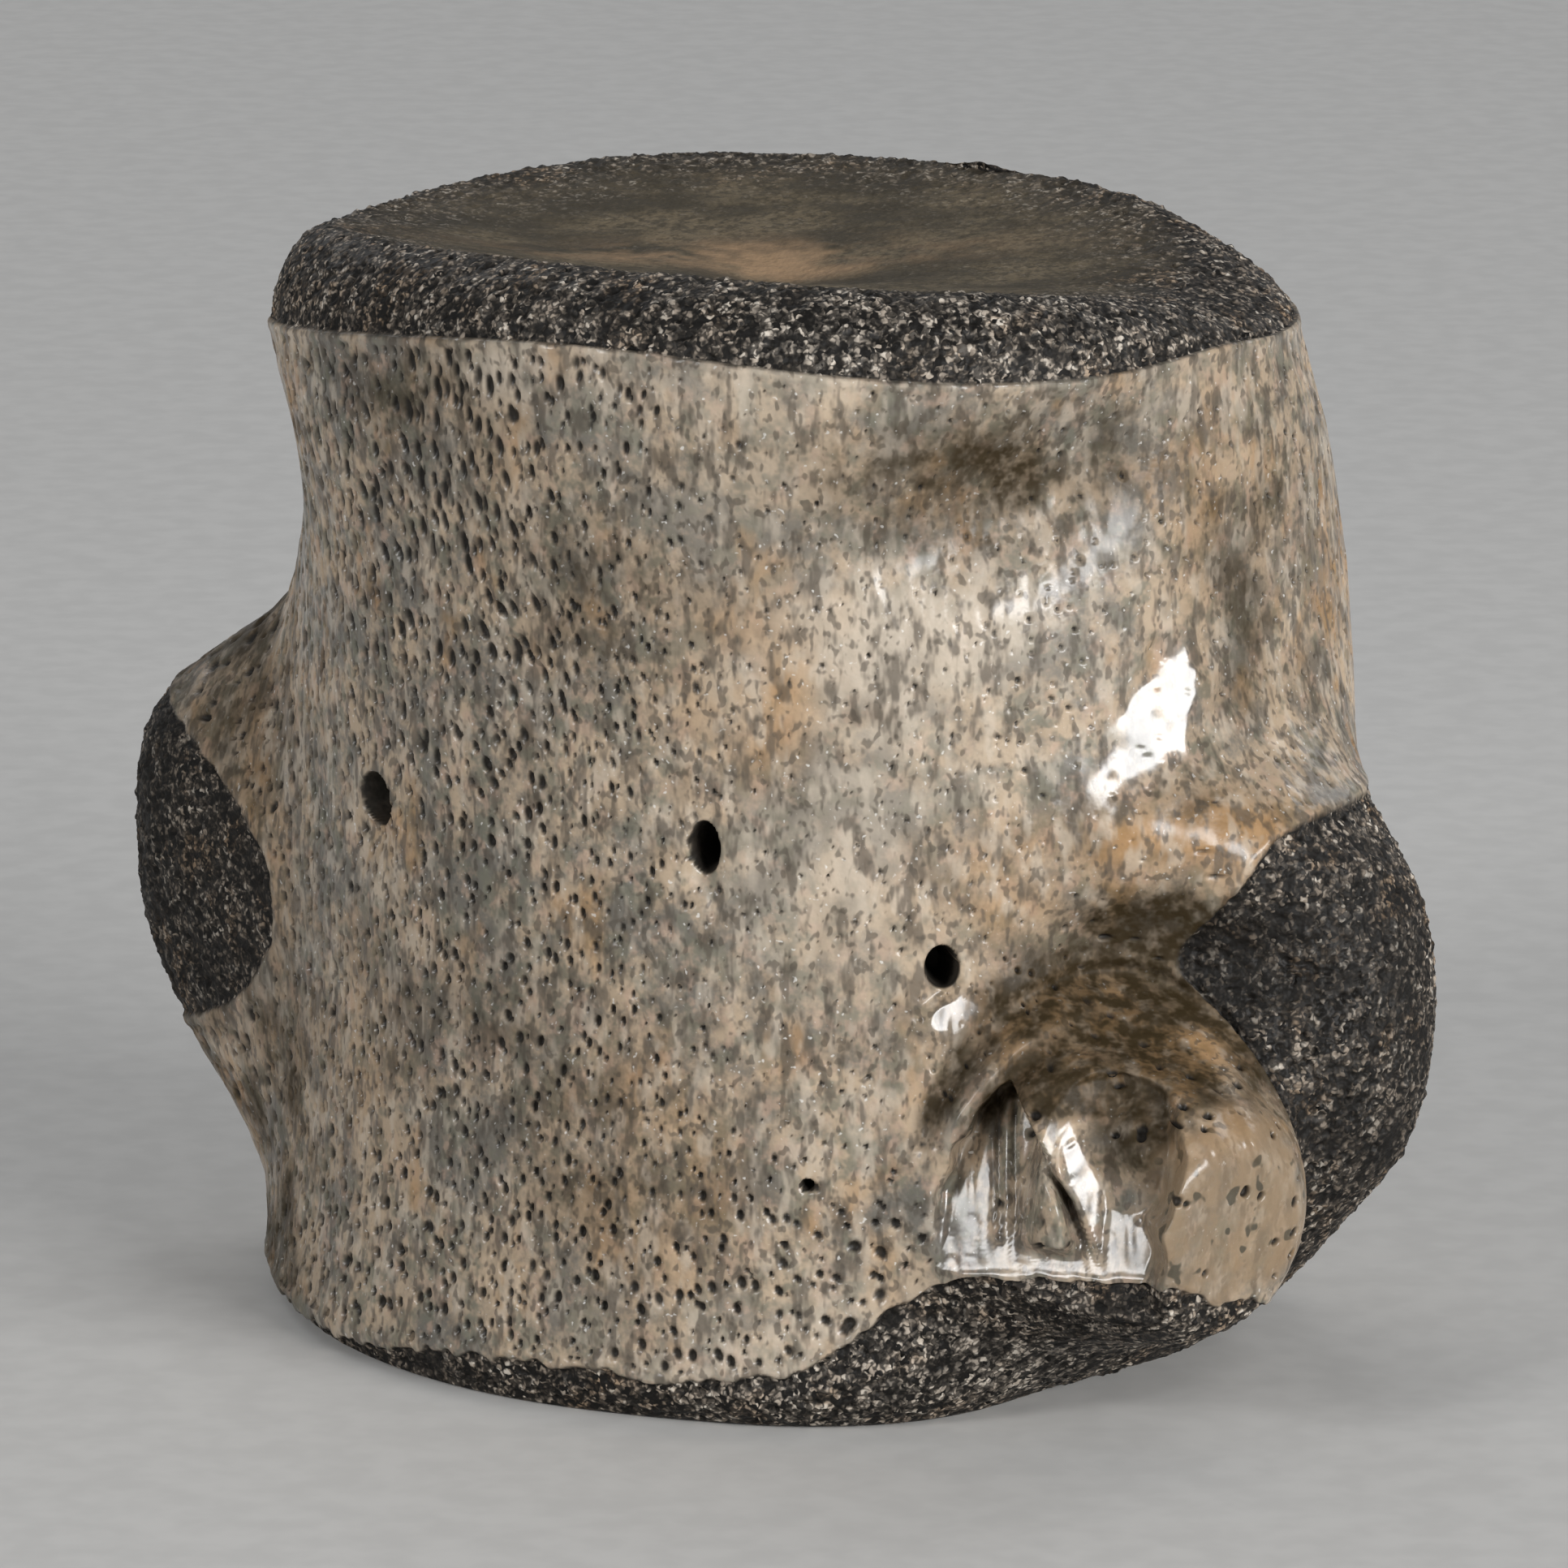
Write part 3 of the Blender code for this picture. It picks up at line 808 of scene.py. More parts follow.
def finished(angle, station):
    """Places on the finished bone, and what its colours need."""
    base = shape(angle, station)
    out = way_out(angle, station)
    grainy = into_grain(angle, station, base)
    on_grain = soft_step(grainy, -0.05 * MM, 0.10 * MM)
    along = fibre_angle(base)
    fibres = fibre_places(base, along)
    forward, tip, bowl, band = knob_marks(base)
    flattened, worn = flats(base)

    swell = (cloud(base, 4.0 * MM, 41) + 0.5 * cloud(base, 1.7 * MM, 42)) * SWELL_RISE
    strands = cloud(fibres * (1.0, 1.0, 0.13), STRAND_WIDTH, 43)
    strands = strands + 0.6 * cloud(fibres * (1.0, 1.0, 0.25), 0.7 * STRAND_WIDTH, 44)
    on_knob = soft_step(-base[:, 1] + KNOB_SLOPE * base[:, 0], *KNOB_SIDE)
    on_knob = on_knob * soft_step(KNOB_UNDER - base[:, 2], 0.0, 0.003)
    pitted = pits(along, base[:, 2]) * (1.0 - on_knob) + round_pits(base) * on_knob
    pitted = pitted * (1.0 - soft_step(grainy, -PITLESS_BAND, -0.4 * PITLESS_BAND))
    polish = np.maximum(bowl, worn)
    pitted = pitted * (1.0 - 0.85 * polish)
    calm = end_calm(station)
    crumb, tone = crumbs(base)
    crumb = crumb * CRUMB_RISE * (1.0 - 0.85 * calm)
    sunk, hole = openings(angle, base)

    rise = swell - STEP_DOWN * soft_step(grainy, -0.02 * MM, 0.16 * MM)
    rise = rise + LIP_RISE * bell(grainy + 0.22 * MM, 0.2 * MM)
    rise = rise + (1.0 - on_grain) * (strands * STRAND_RISE - pitted * PIT_SINK)
    rise = rise + on_grain * crumb - sunk * (1.0 - worn)
    rise = rise * soft_step(base[:, 2], 0.0, FOOT_FADE)

    places = base + out * rise[:, None]
    places[:, 1] -= forward + flattened
    places[:, :2] -= BOX_MIDDLE
    places[:, 2] = np.maximum(places[:, 2], 0.0)
    tone = on_grain * tone + (1.0 - on_grain) * polish
    # The first number, pits and vessel openings, is painted near black by the finish: painted shade.
    relief = np.stack((np.maximum(pitted, hole), on_grain, tone, calm), axis=1)
    return places, np.clip(relief, 0.0, 1.0), stains(angle, station, base, tip, band)


# %% [markdown]
# # Stains
# Iron and manganese in the ground coloured the bone unevenly. The large stains have known
# places; their edges are broken up by clouds so that they don't look stamped on. Some dark
# patches carry painted shade: on the fossa's upper wall, in the recess under the crest and along
# the left flank. One pale patch under the upper edge is a painted highlight.

# %% Places of the stains
DARK_STAINS_AND_SHADE = (
    # The fossa's upper wall, which faces down: partly a dark stain, partly painted shade.
    Form(54, 22, 0.0416, 0.0028, 1),
    # The next three darken the recess under the crest and the crease above the knob: painted shade, with
    # some dark stain.
    Form(73, 9, 0.0206, 0.0022, 2.2),
    Form(66.5, 7.5, 0.0196, 0.0021, 3),
    Form(57, 9, 0.0188, 0.0012, 1.6),
    Form(-16, 14, 0.044, 0.003, 0.55),
    Form(6, 12, 0.0362, 0.0036, 0.5),
    Form(95, 14, 0.0396, 0.005, 0.4),
    Form(-10, 20, 0.016, 0.0045, 0.35),
    Form(9, 12, 0.01, 0.004, 0.45),
    Form(-95, 22, 0.036, 0.008, 0.45),
    # The whole left flank darkened: painted shade on the side turned from the light.
    Form(-76, 18, 0.02, 0.022, 0.8),
    Form(-50, 12, 0.006, 0.01, 0.6),
    Form(77, 9, 0.0272, 0.0013, 0.45),
    Form(92, 12, 0.033, 0.007, 0.3),
    Form(93, 14, 0.0155, 0.009, 0.6),
    Form(150, 20, 0.025, 0.015, 0.35),
    Form(-150, 20, 0.025, 0.015, 0.35),
    Form(180, 8, 0.025, 0.02, 0.6),
)
OCHRE = (
    Form(76, 13, 0.0258, 0.0016, 0.95),
    Form(24, 8, 0.0324, 0.0034, 0.65),
    Form(52, 10, 0.0238, 0.0022, 0.6),
    Form(60, 14, 0.0172, 0.0024, 0.9),
    Form(86, 8, 0.04, 0.006, 0.45),
    Form(12, 10, 0.011, 0.005, 0.55),
    Form(-60, 7, 0.02, 0.007, 0.75),
    Form(78, 5, 0.0082, 0.0012, 0.9),
    Form(-30, 9, 0.014, 0.005, 0.35),
    Form(120, 16, 0.034, 0.006, 0.45),
    Form(-125, 16, 0.038, 0.006, 0.45),
)
PALE_STAINS_AND_HIGHLIGHT = (
    Form(36, 14, 0.029, 0.008, 0.75),
    Form(48, 18, 0.035, 0.0025, 0.7),
    # A painted highlight: a pale band just under the cortex's upper edge, left of the middle.
    Form(-2, 12, 0.0455, 0.0016, 0.7),
    Form(20, 10, 0.043, 0.004, 0.35),
    Form(48, 30, 0.048, 0.0024, 0.9),
    Form(42, 26, 0.003, 0.0032, 1),
)
RAGGED = 2.4 * MM
RUST_MIDDLE = (-0.0020, 0.0030)
RUST_LENGTH = 0.0085
RUST_WIDTH = 0.0021


def patches(angle, height, places, rows, seed):
    """A group of stains with ragged edges, 0 to 1."""
    torn = 1.0 + 0.9 * cloud(places, RAGGED, seed) + 0.5 * cloud(places, 0.4 * RAGGED, seed + 1)
    return np.clip(forms(angle, height, *rows) * torn, 0.0, 1.0)


def stains(angle, station, places, tip, band):
    """How dark, ochre and pale each place is stained, with painted shade among the dark and a painted
    highlight among the pale, and how much it is the knob's tip.
    """
    height = places[:, 2]
    rows = [patches(angle, height, places, group, seed)
            for group, seed in ((DARK_STAINS_AND_SHADE, 61), (OCHRE, 63), (PALE_STAINS_AND_HIGHLIGHT, 65))]
    # The knob's brown band joins the dark share, with the painted shade of its crease, the scoop's roof and
    # the slit.
    brown = 1.35 * band + 0.35 * cloud(places, 0.9 * MM, 69) * (band > 0.0)
    rows[0] = np.maximum(rows[0], brown)
    rust = bell(places[:, 0] - RUST_MIDDLE[0], RUST_LENGTH)
    rust = rust * bell(places[:, 1] - RUST_MIDDLE[1], RUST_WIDTH)
    torn = cloud(places * (0.5, 1.0, 1.0), 1.3 * MM, 67)
    torn = torn + 0.6 * cloud(places * (0.7, 1.0, 1.0), 0.5 * MM, 68)
    rust = rust * (0.75 + 1.1 * torn)
    rows[1] = np.where(station > UPPER_CORNER, np.clip(rust, 0.0, 1.0), rows[1])
    return np.clip(np.stack((*rows, tip), axis=1), 0.0, 1.0)


sample = finished(np.array((0.0, 90.0)), np.array((2.5, 2.3)))
print("stains at two places:", sample[2].round(2).tolist())

# %% [markdown]
# # Nets over the bone
# A net of more than a million triangles is too heavy for one piece, so the surface is divided
# like an orange: strips up the wall, the two rims, and the two end faces. Each net starts as
# a flat squared sheet, whose columns are angles and whose rows are stations, and is then
# wrapped round the bone. Its border is drawn in to one point in the middle of the bone, so
# that each piece is a closed body.

# %% Nets
COLUMN_STEP = 0.3
FACE_CELLS = 300
CORE = Vector((0.0, 0.0, -1.0))
BONE_MIDDLE = (0.0, 0.0, 0.025)


def sheet(columns, rows):
    """A flat squared sheet from -1 to 1, closed by walls that run in to the core."""
    net = bmesh.new()
    bmesh.ops.create_grid(net, x_segments=columns, y_segments=rows, size=1.0)
    for face in net.faces:
        face.smooth = True
    border = [edge for edge in net.edges if edge.is_boundary]
    for edge in border:
        edge.smooth = False
    grown = bmesh.ops.extrude_edge_only(net, edges=border)["geom"]
    new = [part for part in grown if isinstance(part, bmesh.types.BMVert)]
    bmesh.ops.pointmerge(net, verts=new, merge_co=CORE)
    bmesh.ops.recalc_face_normals(net, faces=net.faces)
    return net


trial = sheet(10, 5)
print("trial sheet:", len(trial.verts), "corners,", len(trial.faces), "faces")
trial.free()

# %% [markdown]
# # From net to bone
# A finished net is read as columns and rows, moved onto the bone, and given its two colour
# layers and its own unwrap, named OFBake. The walls that run in to the middle of the bone get
# no room on the unwrap, because nobody sees them.

# %% Put a net on the bone
UNWRAP_MARGIN = 0.002


def write_layer(mesh, name, colours):
    """Keep four numbers for each corner as a named colour layer."""
    layer = mesh.attributes.new(name, "FLOAT_COLOR", "POINT")
    layer.data.foreach_set("color", colours.astype(np.float32).ravel())


def write_unwrap(mesh, across, up):
    """An unwrap from two shares, 0 to 1, for each corner, with the inner walls folded away."""
    corners = np.empty(len(mesh.loops), dtype=np.int32)
    mesh.loops.foreach_get("vertex_index", corners)
    sizes = np.empty(len(mesh.polygons), dtype=np.int32)
    mesh.polygons.foreach_get("loop_total", sizes)
    shares = np.stack((across, up), axis=1)
    shares = UNWRAP_MARGIN + (1.0 - 2.0 * UNWRAP_MARGIN) * shares
    shares = shares[corners]
    shares[np.repeat(sizes == 3, sizes)] = 0.0
    mesh.uv_layers.new(name="OFBake").uv.foreach_set("vector", shares.astype(np.float32).ravel())


def net_corners(mesh):
    """Each corner's place, and whether it is the point in the middle of the bone."""
    corners = np.empty(3 * len(mesh.vertices), dtype=np.float32)
    mesh.vertices.foreach_get("co", corners)
    corners = corners.reshape(-1, 3).astype(float)
    return corners, corners[:, 2] < -0.5


def lay_on_bone(mesh, angle, station, inner, settle=None):
    """Move the corners onto the bone and keep its colour layers."""
    places, relief, stained = finished(angle, station)
    if settle is not None:
        places = settle(places)
    places[inner] = BONE_MIDDLE
    mesh.vertices.foreach_set("co", places.astype(np.float32).ravel())
    write_layer(mesh, "relief", relief)
    write_layer(mesh, "stains", stained)
    mesh.update()


def net_to_mesh(net, name):
    """Turn a net into a mesh."""
    mesh = bpy.data.meshes.new(name)
    net.to_mesh(mesh)
    net.free()
    return mesh


# %% [markdown]
# # Strips and end faces
# A strip that is finer than its neighbours has twice their corners along the shared border.
# Its odd corners there are set halfway between their neighbours, so that no crack opens.
# An end face starts as a square grid: rings of the square become rings of the disc.

# %% Strips and discs
FIRST_ANGLE = -2.5


def strip(name, first_angle, span, low, high, rows, finer=1):
    """One strip of the wall or of a rim."""
    columns = round(span / COLUMN_STEP) * finer
    rows = rows * finer
    mesh = net_to_mesh(sheet(columns, rows), name)
    corners, inner = net_corners(mesh)
    column = np.rint((corners[:, 0] + 1.0) / 2.0 * columns)
    row = np.rint((corners[:, 1] + 1.0) / 2.0 * rows)
    angle_step = span / columns
    station_step = (high - low) / rows

    def settle(places):
        """Set odd border corners halfway between their neighbours."""
        sides = ((column == 0) | (column == columns)) & (row % 2 == 1) & ~inner
        ends = ((row == 0) | (row == rows)) & (column % 2 == 1) & ~inner
        for odd, turn_step, up_step in ((sides, 0.0, station_step), (ends, angle_step, 0.0)):
            angle = first_angle + column[odd] * angle_step
            station = low + row[odd] * station_step
            before = finished(angle - turn_step, station - up_step)[0]
            after = finished(angle + turn_step, station + up_step)[0]
            places[odd] = (before + after) / 2.0
        return places

    lay_on_bone(mesh, first_angle + column * angle_step, low + row * station_step, inner,
                settle if finer > 1 else None)
    write_unwrap(mesh, column / columns, row / rows)
    return mesh


def disc(name, middle, ring):
    """An end face, from its middle station out to its ring station."""
    net = sheet(FACE_CELLS, FACE_CELLS)
    if ring > middle:
        bmesh.ops.reverse_faces(net, faces=net.faces)
    mesh = net_to_mesh(net, name)
    corners, inner = net_corners(mesh)
    x, y = np.where(inner, 0.0, corners[:, 0]), np.where(inner, 0.0, corners[:, 1])
    ring_number = np.rint(np.maximum(np.abs(x), np.abs(y)) * FACE_CELLS / 2)
    share = ring_number * 2 / FACE_CELLS
    size = np.maximum(share, SMALLEST)
    ahead = np.where(x > 0.0, 45.0 * y / size, 180.0 - 45.0 * y / size)
    beside = np.where(y > 0.0, 90.0 - 45.0 * x / size, 270.0 + 45.0 * x / size)
    angle = np.round(np.where(np.abs(x) >= np.abs(y), ahead, beside), 4)
    lay_on_bone(mesh, FIRST_ANGLE + angle, middle + (ring - middle) * share, inner)
    write_unwrap(mesh, (x + 1.0) / 2.0, (y + 1.0) / 2.0)
    return mesh


# %% [markdown]
# # Node helpers
# A material here is a small recipe of noise textures, mixes and ranges. These helpers keep a
# recipe readable: each returns the socket that carries its result on to the next one.

# %% Node helpers
def feed(tree, socket, value):
    """Link a socket to another one, or set its own value."""
    if isinstance(value, bpy.types.NodeSocket):
        tree.links.new(value, socket)
    else:
        socket.default_value = value


def noise(tree, where, size, detail=3.0, roughness=0.55, stretch=(1.0, 1.0, 1.0)):
    """A cloudy value from 0 to 1 whose blobs are about this size, in metres."""
    mapping = tree.nodes.new("ShaderNodeMapping")
    mapping.inputs["Scale"].default_value = stretch
    tree.links.new(where, mapping.inputs["Vector"])
    made = tree.nodes.new("ShaderNodeTexNoise")
    made.inputs["Scale"].default_value = 0.5 / size
    made.inputs["Detail"].default_value = detail
    made.inputs["Roughness"].default_value = roughness
    tree.links.new(mapping.outputs["Vector"], made.inputs["Vector"])
    return made.outputs["Fac"]


def span_of(tree, value, low, high, to_low=0.0, to_high=1.0):
    """A value moved from one range to another, and kept inside it."""
    made = tree.nodes.new("ShaderNodeMapRange")
    made.interpolation_type = "SMOOTHSTEP"
    tree.links.new(value, made.inputs["Value"])
    for name, number in (("From Min", low), ("From Max", high), ("To Min", to_low), ("To Max", to_high)):
        made.inputs[name].default_value = number
    return made.outputs["Result"]


def math_node(tree, operation, first, second):
    """Two numbers combined."""
    made = tree.nodes.new("ShaderNodeMath")
    made.operation = operation
    feed(tree, made.inputs[0], first)
    feed(tree, made.inputs[1], second)
    return made.outputs["Value"]


def times(tree, first, second):
    """Two numbers multiplied."""
    return math_node(tree, "MULTIPLY", first, second)


def blend_colours(tree, share, first, second, way="MIX"):
    """Two colours mixed by a share from 0 to 1."""
    made = tree.nodes.new("ShaderNodeMix")
    made.data_type = "RGBA"
    made.blend_type = way
    feed(tree, made.inputs["Factor"], share)
    colours = [socket for socket in made.inputs if socket.type == "RGBA"]
    feed(tree, colours[0], first)
    feed(tree, colours[1], second)
    return next(socket for socket in made.outputs if socket.type == "RGBA")


def crumb_cells(tree, where, size):
    """A draw for each crooked crumb of about this size, and how near its edge each place is."""
    shift = tree.nodes.new("ShaderNodeTexNoise")
    shift.inputs["Scale"].default_value = 1.1 / size
    shift.inputs["Detail"].default_value = 0.0
    tree.links.new(where, shift.inputs["Vector"])
    bent = tree.nodes.new("ShaderNodeVectorMath")
    bent.operation = "MULTIPLY_ADD"
    bent.inputs[1].default_value = (1.6 * size, 1.6 * size, 1.6 * size)
    tree.links.new(shift.outputs["Color"], bent.inputs[0])
    tree.links.new(where, bent.inputs[2])
    made = tree.nodes.new("ShaderNodeTexVoronoi")
    made.inputs["Scale"].default_value = 1.0 / size
    tree.links.new(bent.outputs["Vector"], made.inputs["Vector"])
    parts = tree.nodes.new("ShaderNodeSeparateColor")
    tree.links.new(made.outputs["Color"], parts.inputs["Color"])
    return parts.outputs[0], made.outputs["Distance"]


def layer_parts(tree, name):
    """The four numbers of a colour layer, each as a socket."""
    layer = tree.nodes.new("ShaderNodeAttribute")
    layer.attribute_name = name
    parts = tree.nodes.new("ShaderNodeSeparateColor")
    tree.links.new(layer.outputs["Color"], parts.inputs["Color"])
    return (*parts.outputs, layer.outputs["Alpha"])


# %% [markdown]
# # Fossil bone under varnish
# The cortex is tan and grey, streaked along its fibres and stained by iron; the open bone at
# the ends is nearly black, with lighter grains. Pits, vessel openings and the pores between grains
# are painted dark as painted shade, and the small white specks are painted glints. Two shaders
# could be mixed; one is enough here, because only the colour differs. The varnish fades out in
# pits, grain, dark stains and painted shade. Patches that differ only in hue and size are rows of
# a table, laid over each other by one loop.

# %% The bone's finish
TAN = (0.450, 0.348, 0.244, 1.0)
GREY = (0.160, 0.147, 0.124, 1.0)
MOSS = (0.165, 0.162, 0.122, 1.0)
BLUSH = (0.500, 0.350, 0.260, 1.0)
PAINTED_GLINT = (0.800, 0.780, 0.740, 1.0)
CREAM = (0.560, 0.480, 0.385, 1.0)
BROWN_STAIN_AND_SHADE = (0.036, 0.024, 0.010, 1.0)
OCHRE_STAIN = (0.430, 0.240, 0.095, 1.0)
STREAK = (0.085, 0.070, 0.054, 1.0)
PIT_SHADE_BLACK = (0.016, 0.014, 0.012, 1.0)
GRAIN_DARK = (0.008, 0.007, 0.006, 1.0)
GRAIN_MIDDLE = (0.330, 0.270, 0.212, 1.0)
GRAIN_PALE = (0.520, 0.455, 0.380, 1.0)
GRAIN_LIGHT_AND_GLINT = (0.620, 0.560, 0.480, 1.0)
GRAIN_RUSTY = (0.410, 0.270, 0.158, 1.0)
END_BROWN = (0.165, 0.130, 0.082, 1.0)
END_DARK = (0.062, 0.051, 0.034, 1.0)
END_RUST = (0.310, 0.205, 0.120, 1.0)
TIP_TAN = (0.255, 0.182, 0.112, 1.0)
TIP_SPOT = (0.050, 0.046, 0.032, 1.0)
VARNISH = 0.36
UNDERCOAT_SHINE = 0.20
POLISH = 0.90


Mottle = namedtuple("Mottle", "hue size detail roughness upright start full most")
GROUND = (
    Mottle(TAN, 1.90, 5, 0.68, 1.00, 0.40, 0.58, 1.00),
    Mottle(MOSS, 0.80, 3, 0.70, 1.00, 0.47, 0.62, 0.78),
    Mottle(BLUSH, 0.62, 3, 0.65, 1.00, 0.52, 0.68, 0.55),
    Mottle(OCHRE_STAIN, 1.60, 3, 0.55, 0.60, 0.56, 0.72, 0.55),
)
STREAKS_AND_GLINTS = (
    Mottle(CREAM, 0.46, 2, 0.55, 0.45, 0.50, 0.66, 0.52),
    Mottle(STREAK, 0.32, 2, 0.55, 0.40, 0.50, 0.66, 0.72),
    Mottle(STREAK, 0.20, 1, 0.55, 0.70, 0.56, 0.68, 0.65),
    # The last row, tiny white specks, is painted glints.
    Mottle(PAINTED_GLINT, 0.13, 1, 0.55, 1.00, 0.69, 0.78, 0.60),
)
RUDDY_GRAINS = (Mottle(GRAIN_RUSTY, 1.30, 2, 0.55, 1.00, 0.50, 0.68, 0.75),)
GRAIN_SIZE = 0.27 * MM


def mottled(tree, where, colour, rows):
    """Lay patches of other hues over a colour, each row finer or coarser than the last."""
    for row in rows:
        made = noise(tree, where, row.size * MM, row.detail, row.roughness, (1.0, 1.0, row.upright))
        share = span_of(tree, made, row.start, row.full, 0.0, row.most)
        colour = blend_colours(tree, share, colour, row.hue)
    return colour


def tinted(tree, colour, share, strength, hue):
    """Lay a hue over a colour where a stain lies."""
    return blend_colours(tree, times(tree, share, strength), colour, hue)


def cortex_colour(tree, where, stained, pit):
    """The smooth skin of the bone: mottled, streaked and stained, with painted glints, and its pits and
    vessel openings painted near black as painted shade.
    """
    dark, ochre, pale, tip = stained
    colour = mottled(tree, where, GREY, GROUND)
    # Pale stains, one of them a painted highlight.
    colour = tinted(tree, colour, pale, 0.80, CREAM)
    colour = tinted(tree, colour, ochre, 0.72, OCHRE_STAIN)
    colour = mottled(tree, where, colour, STREAKS_AND_GLINTS)
    # Dark stains, and the painted shade that shares their mask.
    broken = span_of(tree, noise(tree, where, 0.40 * MM, 2.0, 0.7), 0.34, 0.62, 0.72, 1.0)
    colour = tinted(tree, colour, dark, broken, BROWN_STAIN_AND_SHADE)
    blotchy = span_of(tree, noise(tree, where, 0.75 * MM, 3.0, 0.65), 0.36, 0.62, 0.52, 0.90)
    colour = tinted(tree, colour, tip, blotchy, TIP_TAN)
    spots = span_of(tree, noise(tree, where, 0.42 * MM, 1.0), 0.61, 0.67, 0.0, 0.85)
    colour = tinted(tree, colour, tip, spots, TIP_SPOT)
    colour = tinted(tree, colour, times(tree, tip, ochre), 0.432, OCHRE_STAIN)
    # Pits and vessel openings are painted near black: painted shade in the hollows.
    return blend_colours(tree, span_of(tree, pit, 0.05, 0.70, 0.0, 0.95), colour, PIT_SHADE_BLACK)


def open_bone_colour(tree, where, tone, calm, stained):
    """The grainy bone at the ends and on the rib seats, crumb by crumb, with painted shade in its pores and
    between its crumbs, and painted glints on its raised crumbs.
    """
    dark, rust, pale = stained[:3]
    luck, gap = crumb_cells(tree, where, GRAIN_SIZE)
    middle = tinted(tree, mottled(tree, where, GRAIN_MIDDLE, RUDDY_GRAINS), pale, 0.9, GRAIN_PALE)
    colour = blend_colours(tree, span_of(tree, luck, 0.15, 0.60), GRAIN_DARK, middle)
    # Low places, the pores, are painted dark: painted shade.
    colour = blend_colours(tree, span_of(tree, tone, 0.12, 0.42, 0.85, 0.0), colour, GRAIN_DARK)
    # Light specks on the raised crumbs, gathered in clusters: partly lighter grains, partly painted glints.
    glinting_crumbs = times(tree, span_of(tree, luck, 0.66, 0.80), span_of(tree, tone, 0.18, 0.55))
    shoals = noise(tree, where, 1.0 * MM, 3.0, 0.65)
    glinting_crumbs = times(tree, glinting_crumbs, span_of(tree, shoals, 0.40, 0.58, 0.10, 1.0))
    colour = blend_colours(tree, span_of(tree, shoals, 0.34, 0.52, 0.75, 0.0), colour, GRAIN_DARK)
    colour = blend_colours(tree, glinting_crumbs, colour, GRAIN_LIGHT_AND_GLINT)
    # The edges between crumbs are painted dark: painted shade.
    colour = blend_colours(tree, span_of(tree, gap, 0.30, 0.62, 0.0, 0.85), colour, GRAIN_DARK)
    # Dark stains, and the painted shade that shares their mask.
    colour = tinted(tree, colour, dark, 0.75, GRAIN_DARK)
    cloudy = span_of(tree, noise(tree, where, 2.0 * MM, 3.0, stretch=(0.6, 1.0, 1.0)), 0.36, 0.64)
    worn = blend_colours(tree, cloudy, END_DARK, END_BROWN)
    fine = span_of(tree, noise(tree, where, 0.26 * MM, 2.0, 0.7), 0.42, 0.62, 0.0, 0.75)
    worn = blend_colours(tree, fine, worn, END_DARK)
    return tinted(tree, tinted(tree, colour, calm, 0.9, worn), rust, calm, END_RUST)


def fossil_bone():
    """Mottled fossil bone, pitted and grainy, under a coat of varnish."""
    material = bpy.data.materials.new("fossil_bone")
    material.use_nodes = True
    tree = material.node_tree
    shader = tree.nodes["Principled BSDF"]
    where = tree.nodes.new("ShaderNodeTexCoord").outputs["Object"]
    pit, grainy, tone, calm = layer_parts(tree, "relief")
    stained = layer_parts(tree, "stains")
    cortex = cortex_colour(tree, where, stained, pit)
    open_bone = open_bone_colour(tree, where, tone, calm, stained)
    tree.links.new(blend_colours(tree, grainy, cortex, open_bone), shader.inputs["Base Color"])

    gloss = span_of(tree, noise(tree, where, 0.7 * MM, 2.0), 0.35, 0.70, 0.27, 0.45)
    dull = math_node(tree, "MAXIMUM", math_node(tree, "MAXIMUM", pit, grainy), stained[0])
    matt = times(tree, math_node(tree, "ADD", calm, dull), 0.25)
    tree.links.new(math_node(tree, "ADD", gloss, matt), shader.inputs["Roughness"])
    worn = span_of(tree, tone, 0.2, 0.9, VARNISH, POLISH)
    varnish = times(tree, worn, span_of(tree, dull, 0.1, 0.7, 1.0, 0.0))
    tree.links.new(varnish, shader.inputs["Coat Weight"])
    shader.inputs["Coat Roughness"].default_value = 0.17
    shader.inputs["Specular IOR Level"].default_value = UNDERCOAT_SHINE

    bump = tree.nodes.new("ShaderNodeBump")
    bump.inputs["Strength"].default_value = 0.5
    bump.inputs["Distance"].default_value = 0.07 * MM
    rougher = math_node(tree, "ADD", times(tree, grainy, 1.6), 1.0)
    height = times(tree, noise(tree, where, 0.16 * MM, 1.0), rougher)
    tree.links.new(height, bump.inputs["Height"])
    tree.links.new(bump.outputs["Normal"], shader.inputs["Normal"])
    return material


bone_finish = fossil_bone()
print("nodes in the finish:", len(bone_finish.node_tree.nodes))

# %% [markdown]
# # The pieces
# Eight strips go up the wall. The one with the knob is divided, and its lower part is made
# twice as fine, because there the surface is stretched furthest. Each piece stands for the
# one solid of the measured model.

# %% Make the pieces
KNOB_TOP = LOWER_CORNER + 0.375
STRIP_SPAN = 45.0
WALL = (LOWER_CORNER, UPPER_CORNER, 400, 1)
PLAIN_STRIPS = ("rib_seat_right", "arch_seat_right", "arch_seat_left",
                "back_left", "rib_seat_left", "underside_left")
STRIPS = (
    ("underside_middle", FIRST_ANGLE, STRIP_SPAN, *WALL),
    ("knob", 42.5, STRIP_SPAN, LOWER_CORNER, KNOB_TOP, 150, 2),
    ("flank_over_knob", 42.5, STRIP_SPAN, KNOB_TOP, UPPER_CORNER, 250, 1),
    *((name, 87.5 + STRIP_SPAN * place, STRIP_SPAN, *WALL) for place, name in enumerate(PLAIN_STRIPS)),
    *((f"{end}_rim_{side}", angle, 180.0, low, high, 44, 1)
      for end, low, high in (("upper", UPPER_CORNER, UPPER_RING), ("lower", LOWER_RING, LOWER_CORNER))
      for side, angle in (("right", FIRST_ANGLE), ("left", FIRST_ANGLE + 180.0))),
)


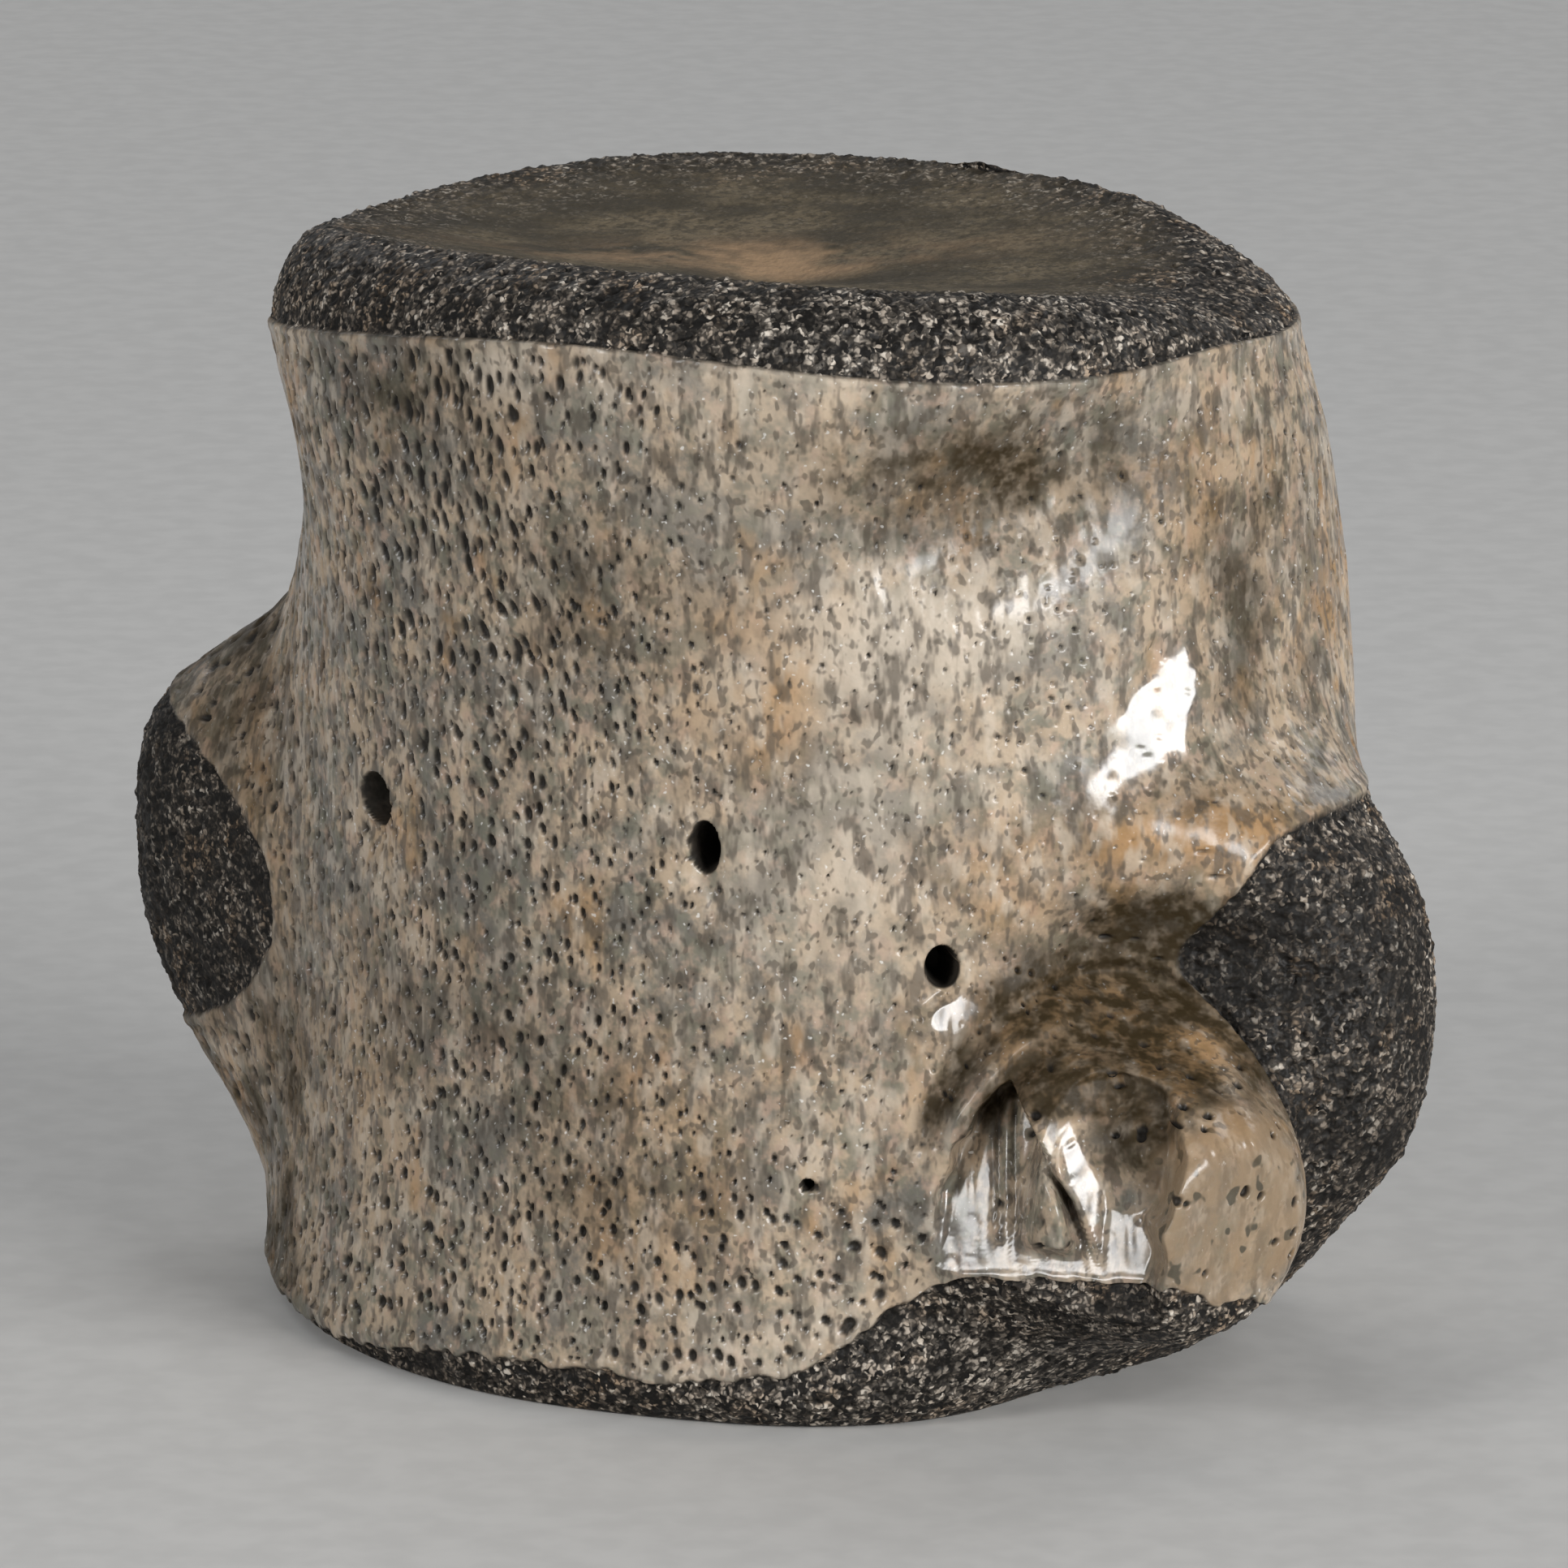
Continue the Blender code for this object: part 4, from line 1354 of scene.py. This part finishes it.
def dress(mesh):
    """Make a piece of a mesh, give it the bone's finish and let it stand for the solid."""
    mesh.materials.append(bone_finish)
    piece = bpy.data.objects.new(mesh.name, mesh)
    bpy.context.scene.collection.objects.link(piece)
    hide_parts("centrum")
    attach(piece, "root")
    return piece


pieces = [dress(strip(*row)) for row in STRIPS]
pieces.append(dress(disc("upper_end_face", TOP, UPPER_RING)))
pieces.append(dress(disc("lower_end_face", 0.0, LOWER_RING)))
triangles = 0
for piece in pieces:
    piece.data.calc_loop_triangles()
    triangles += len(piece.data.loop_triangles)
print(len(pieces), "pieces,", triangles, "triangles")

# %% [markdown]
# # Floor and light
# A museum photographs a bone on plain paper. A broad lamp to the right of the camera and a
# smaller one to its left draw the highlights on the varnish. Two soft lamps behind and a pale
# sky fill the rest, so that the sides and the back can be seen as well.

# %% Floor and lamps
FLOOR_HALF = 4.0
FLOOR_PALE = (0.62, 0.61, 0.59, 1.0)
SKY = (0.80, 0.85, 0.92, 1.0)
SKY_STRENGTH = 0.18


def make_floor():
    """A wide sheet of pale paper."""
    net = bmesh.new()
    bmesh.ops.create_grid(net, x_segments=1, y_segments=1, size=FLOOR_HALF)
    mesh = bpy.data.meshes.new("floor")
    net.to_mesh(mesh)
    net.free()
    paper = bpy.data.materials.new("paper")
    paper.use_nodes = True
    tree = paper.node_tree
    shader = tree.nodes["Principled BSDF"]
    where = tree.nodes.new("ShaderNodeTexCoord").outputs["Object"]
    fibres = span_of(tree, noise(tree, where, 1.2 * MM, detail=2.0), 0.3, 0.7, 0.93, 1.0)
    tree.links.new(blend_colours(tree, 1.0, FLOOR_PALE, fibres, "MULTIPLY"), shader.inputs["Base Color"])
    shader.inputs["Roughness"].default_value = 0.85
    mesh.materials.append(paper)
    floor = bpy.data.objects.new("floor", mesh)
    bpy.context.scene.collection.objects.link(floor)


def lamp(name, azimuth, elevation, distance, size, power):
    """A soft lamp, as wide and tall as its size says. Azimuth 0 is the camera's side."""
    across = math.radians(azimuth)
    up = math.radians(elevation)
    way = Vector((math.sin(across) * math.cos(up), -math.cos(across) * math.cos(up), math.sin(up)))
    light = bpy.data.lights.new(name, "AREA")
    light.shape = "RECTANGLE"
    light.size, light.size_y = size
    light.energy = power
    holder = bpy.data.objects.new(name, light)
    holder.location = Vector(BONE_MIDDLE) + distance * way
    holder.rotation_euler = (-way).to_track_quat("-Z", "Y").to_euler()
    bpy.context.scene.collection.objects.link(holder)


make_floor()
lamp("key", 46.0, 15.0, 0.60, (0.36, 0.14), 3.6)
lamp("left", -48.0, 24.0, 0.60, (0.18, 0.17), 1.35)
lamp("back_left", -150.0, 40.0, 0.90, (0.6, 0.6), 1.6)
lamp("back_right", 135.0, 30.0, 0.90, (0.4, 0.4), 1.2)
sky = bpy.data.worlds.new("sky")
bpy.context.scene.world = sky
sky.use_nodes = True
sky.node_tree.nodes["Background"].inputs["Color"].default_value = SKY
sky.node_tree.nodes["Background"].inputs["Strength"].default_value = SKY_STRENGTH
bpy.context.scene.view_settings.view_transform = "Standard"

# %% [markdown]
# # Camera
# A long lens close to the ground, looking down a little, fills the frame with the bone. The
# lens is worked out from the distance and from how much of the bone one pixel shows.

# %% Camera
PICTURE_SIDE = 1932
PIXEL_ON_BONE = 0.036 * MM
CAMERA_DISTANCE = 0.430
CAMERA_ELEVATION = 13.3
SENSOR = 36.0
TARGET = Vector((-BOX_MIDDLE[0], -BOX_MIDDLE[1], 0.024))

view = bpy.data.cameras.new("camera")
view.sensor_width = SENSOR
view.lens = SENSOR * CAMERA_DISTANCE / (PIXEL_ON_BONE * PICTURE_SIDE)
view.clip_start = 0.01
up = math.radians(CAMERA_ELEVATION)
away = Vector((0.0, -math.cos(up), math.sin(up)))
camera = bpy.data.objects.new("camera", view)
camera.location = TARGET + CAMERA_DISTANCE * away
camera.rotation_euler = (-away).to_track_quat("-Z", "Y").to_euler()
bpy.context.scene.collection.objects.link(camera)
bpy.context.scene.camera = camera
print("lens, mm:", round(view.lens, 1))
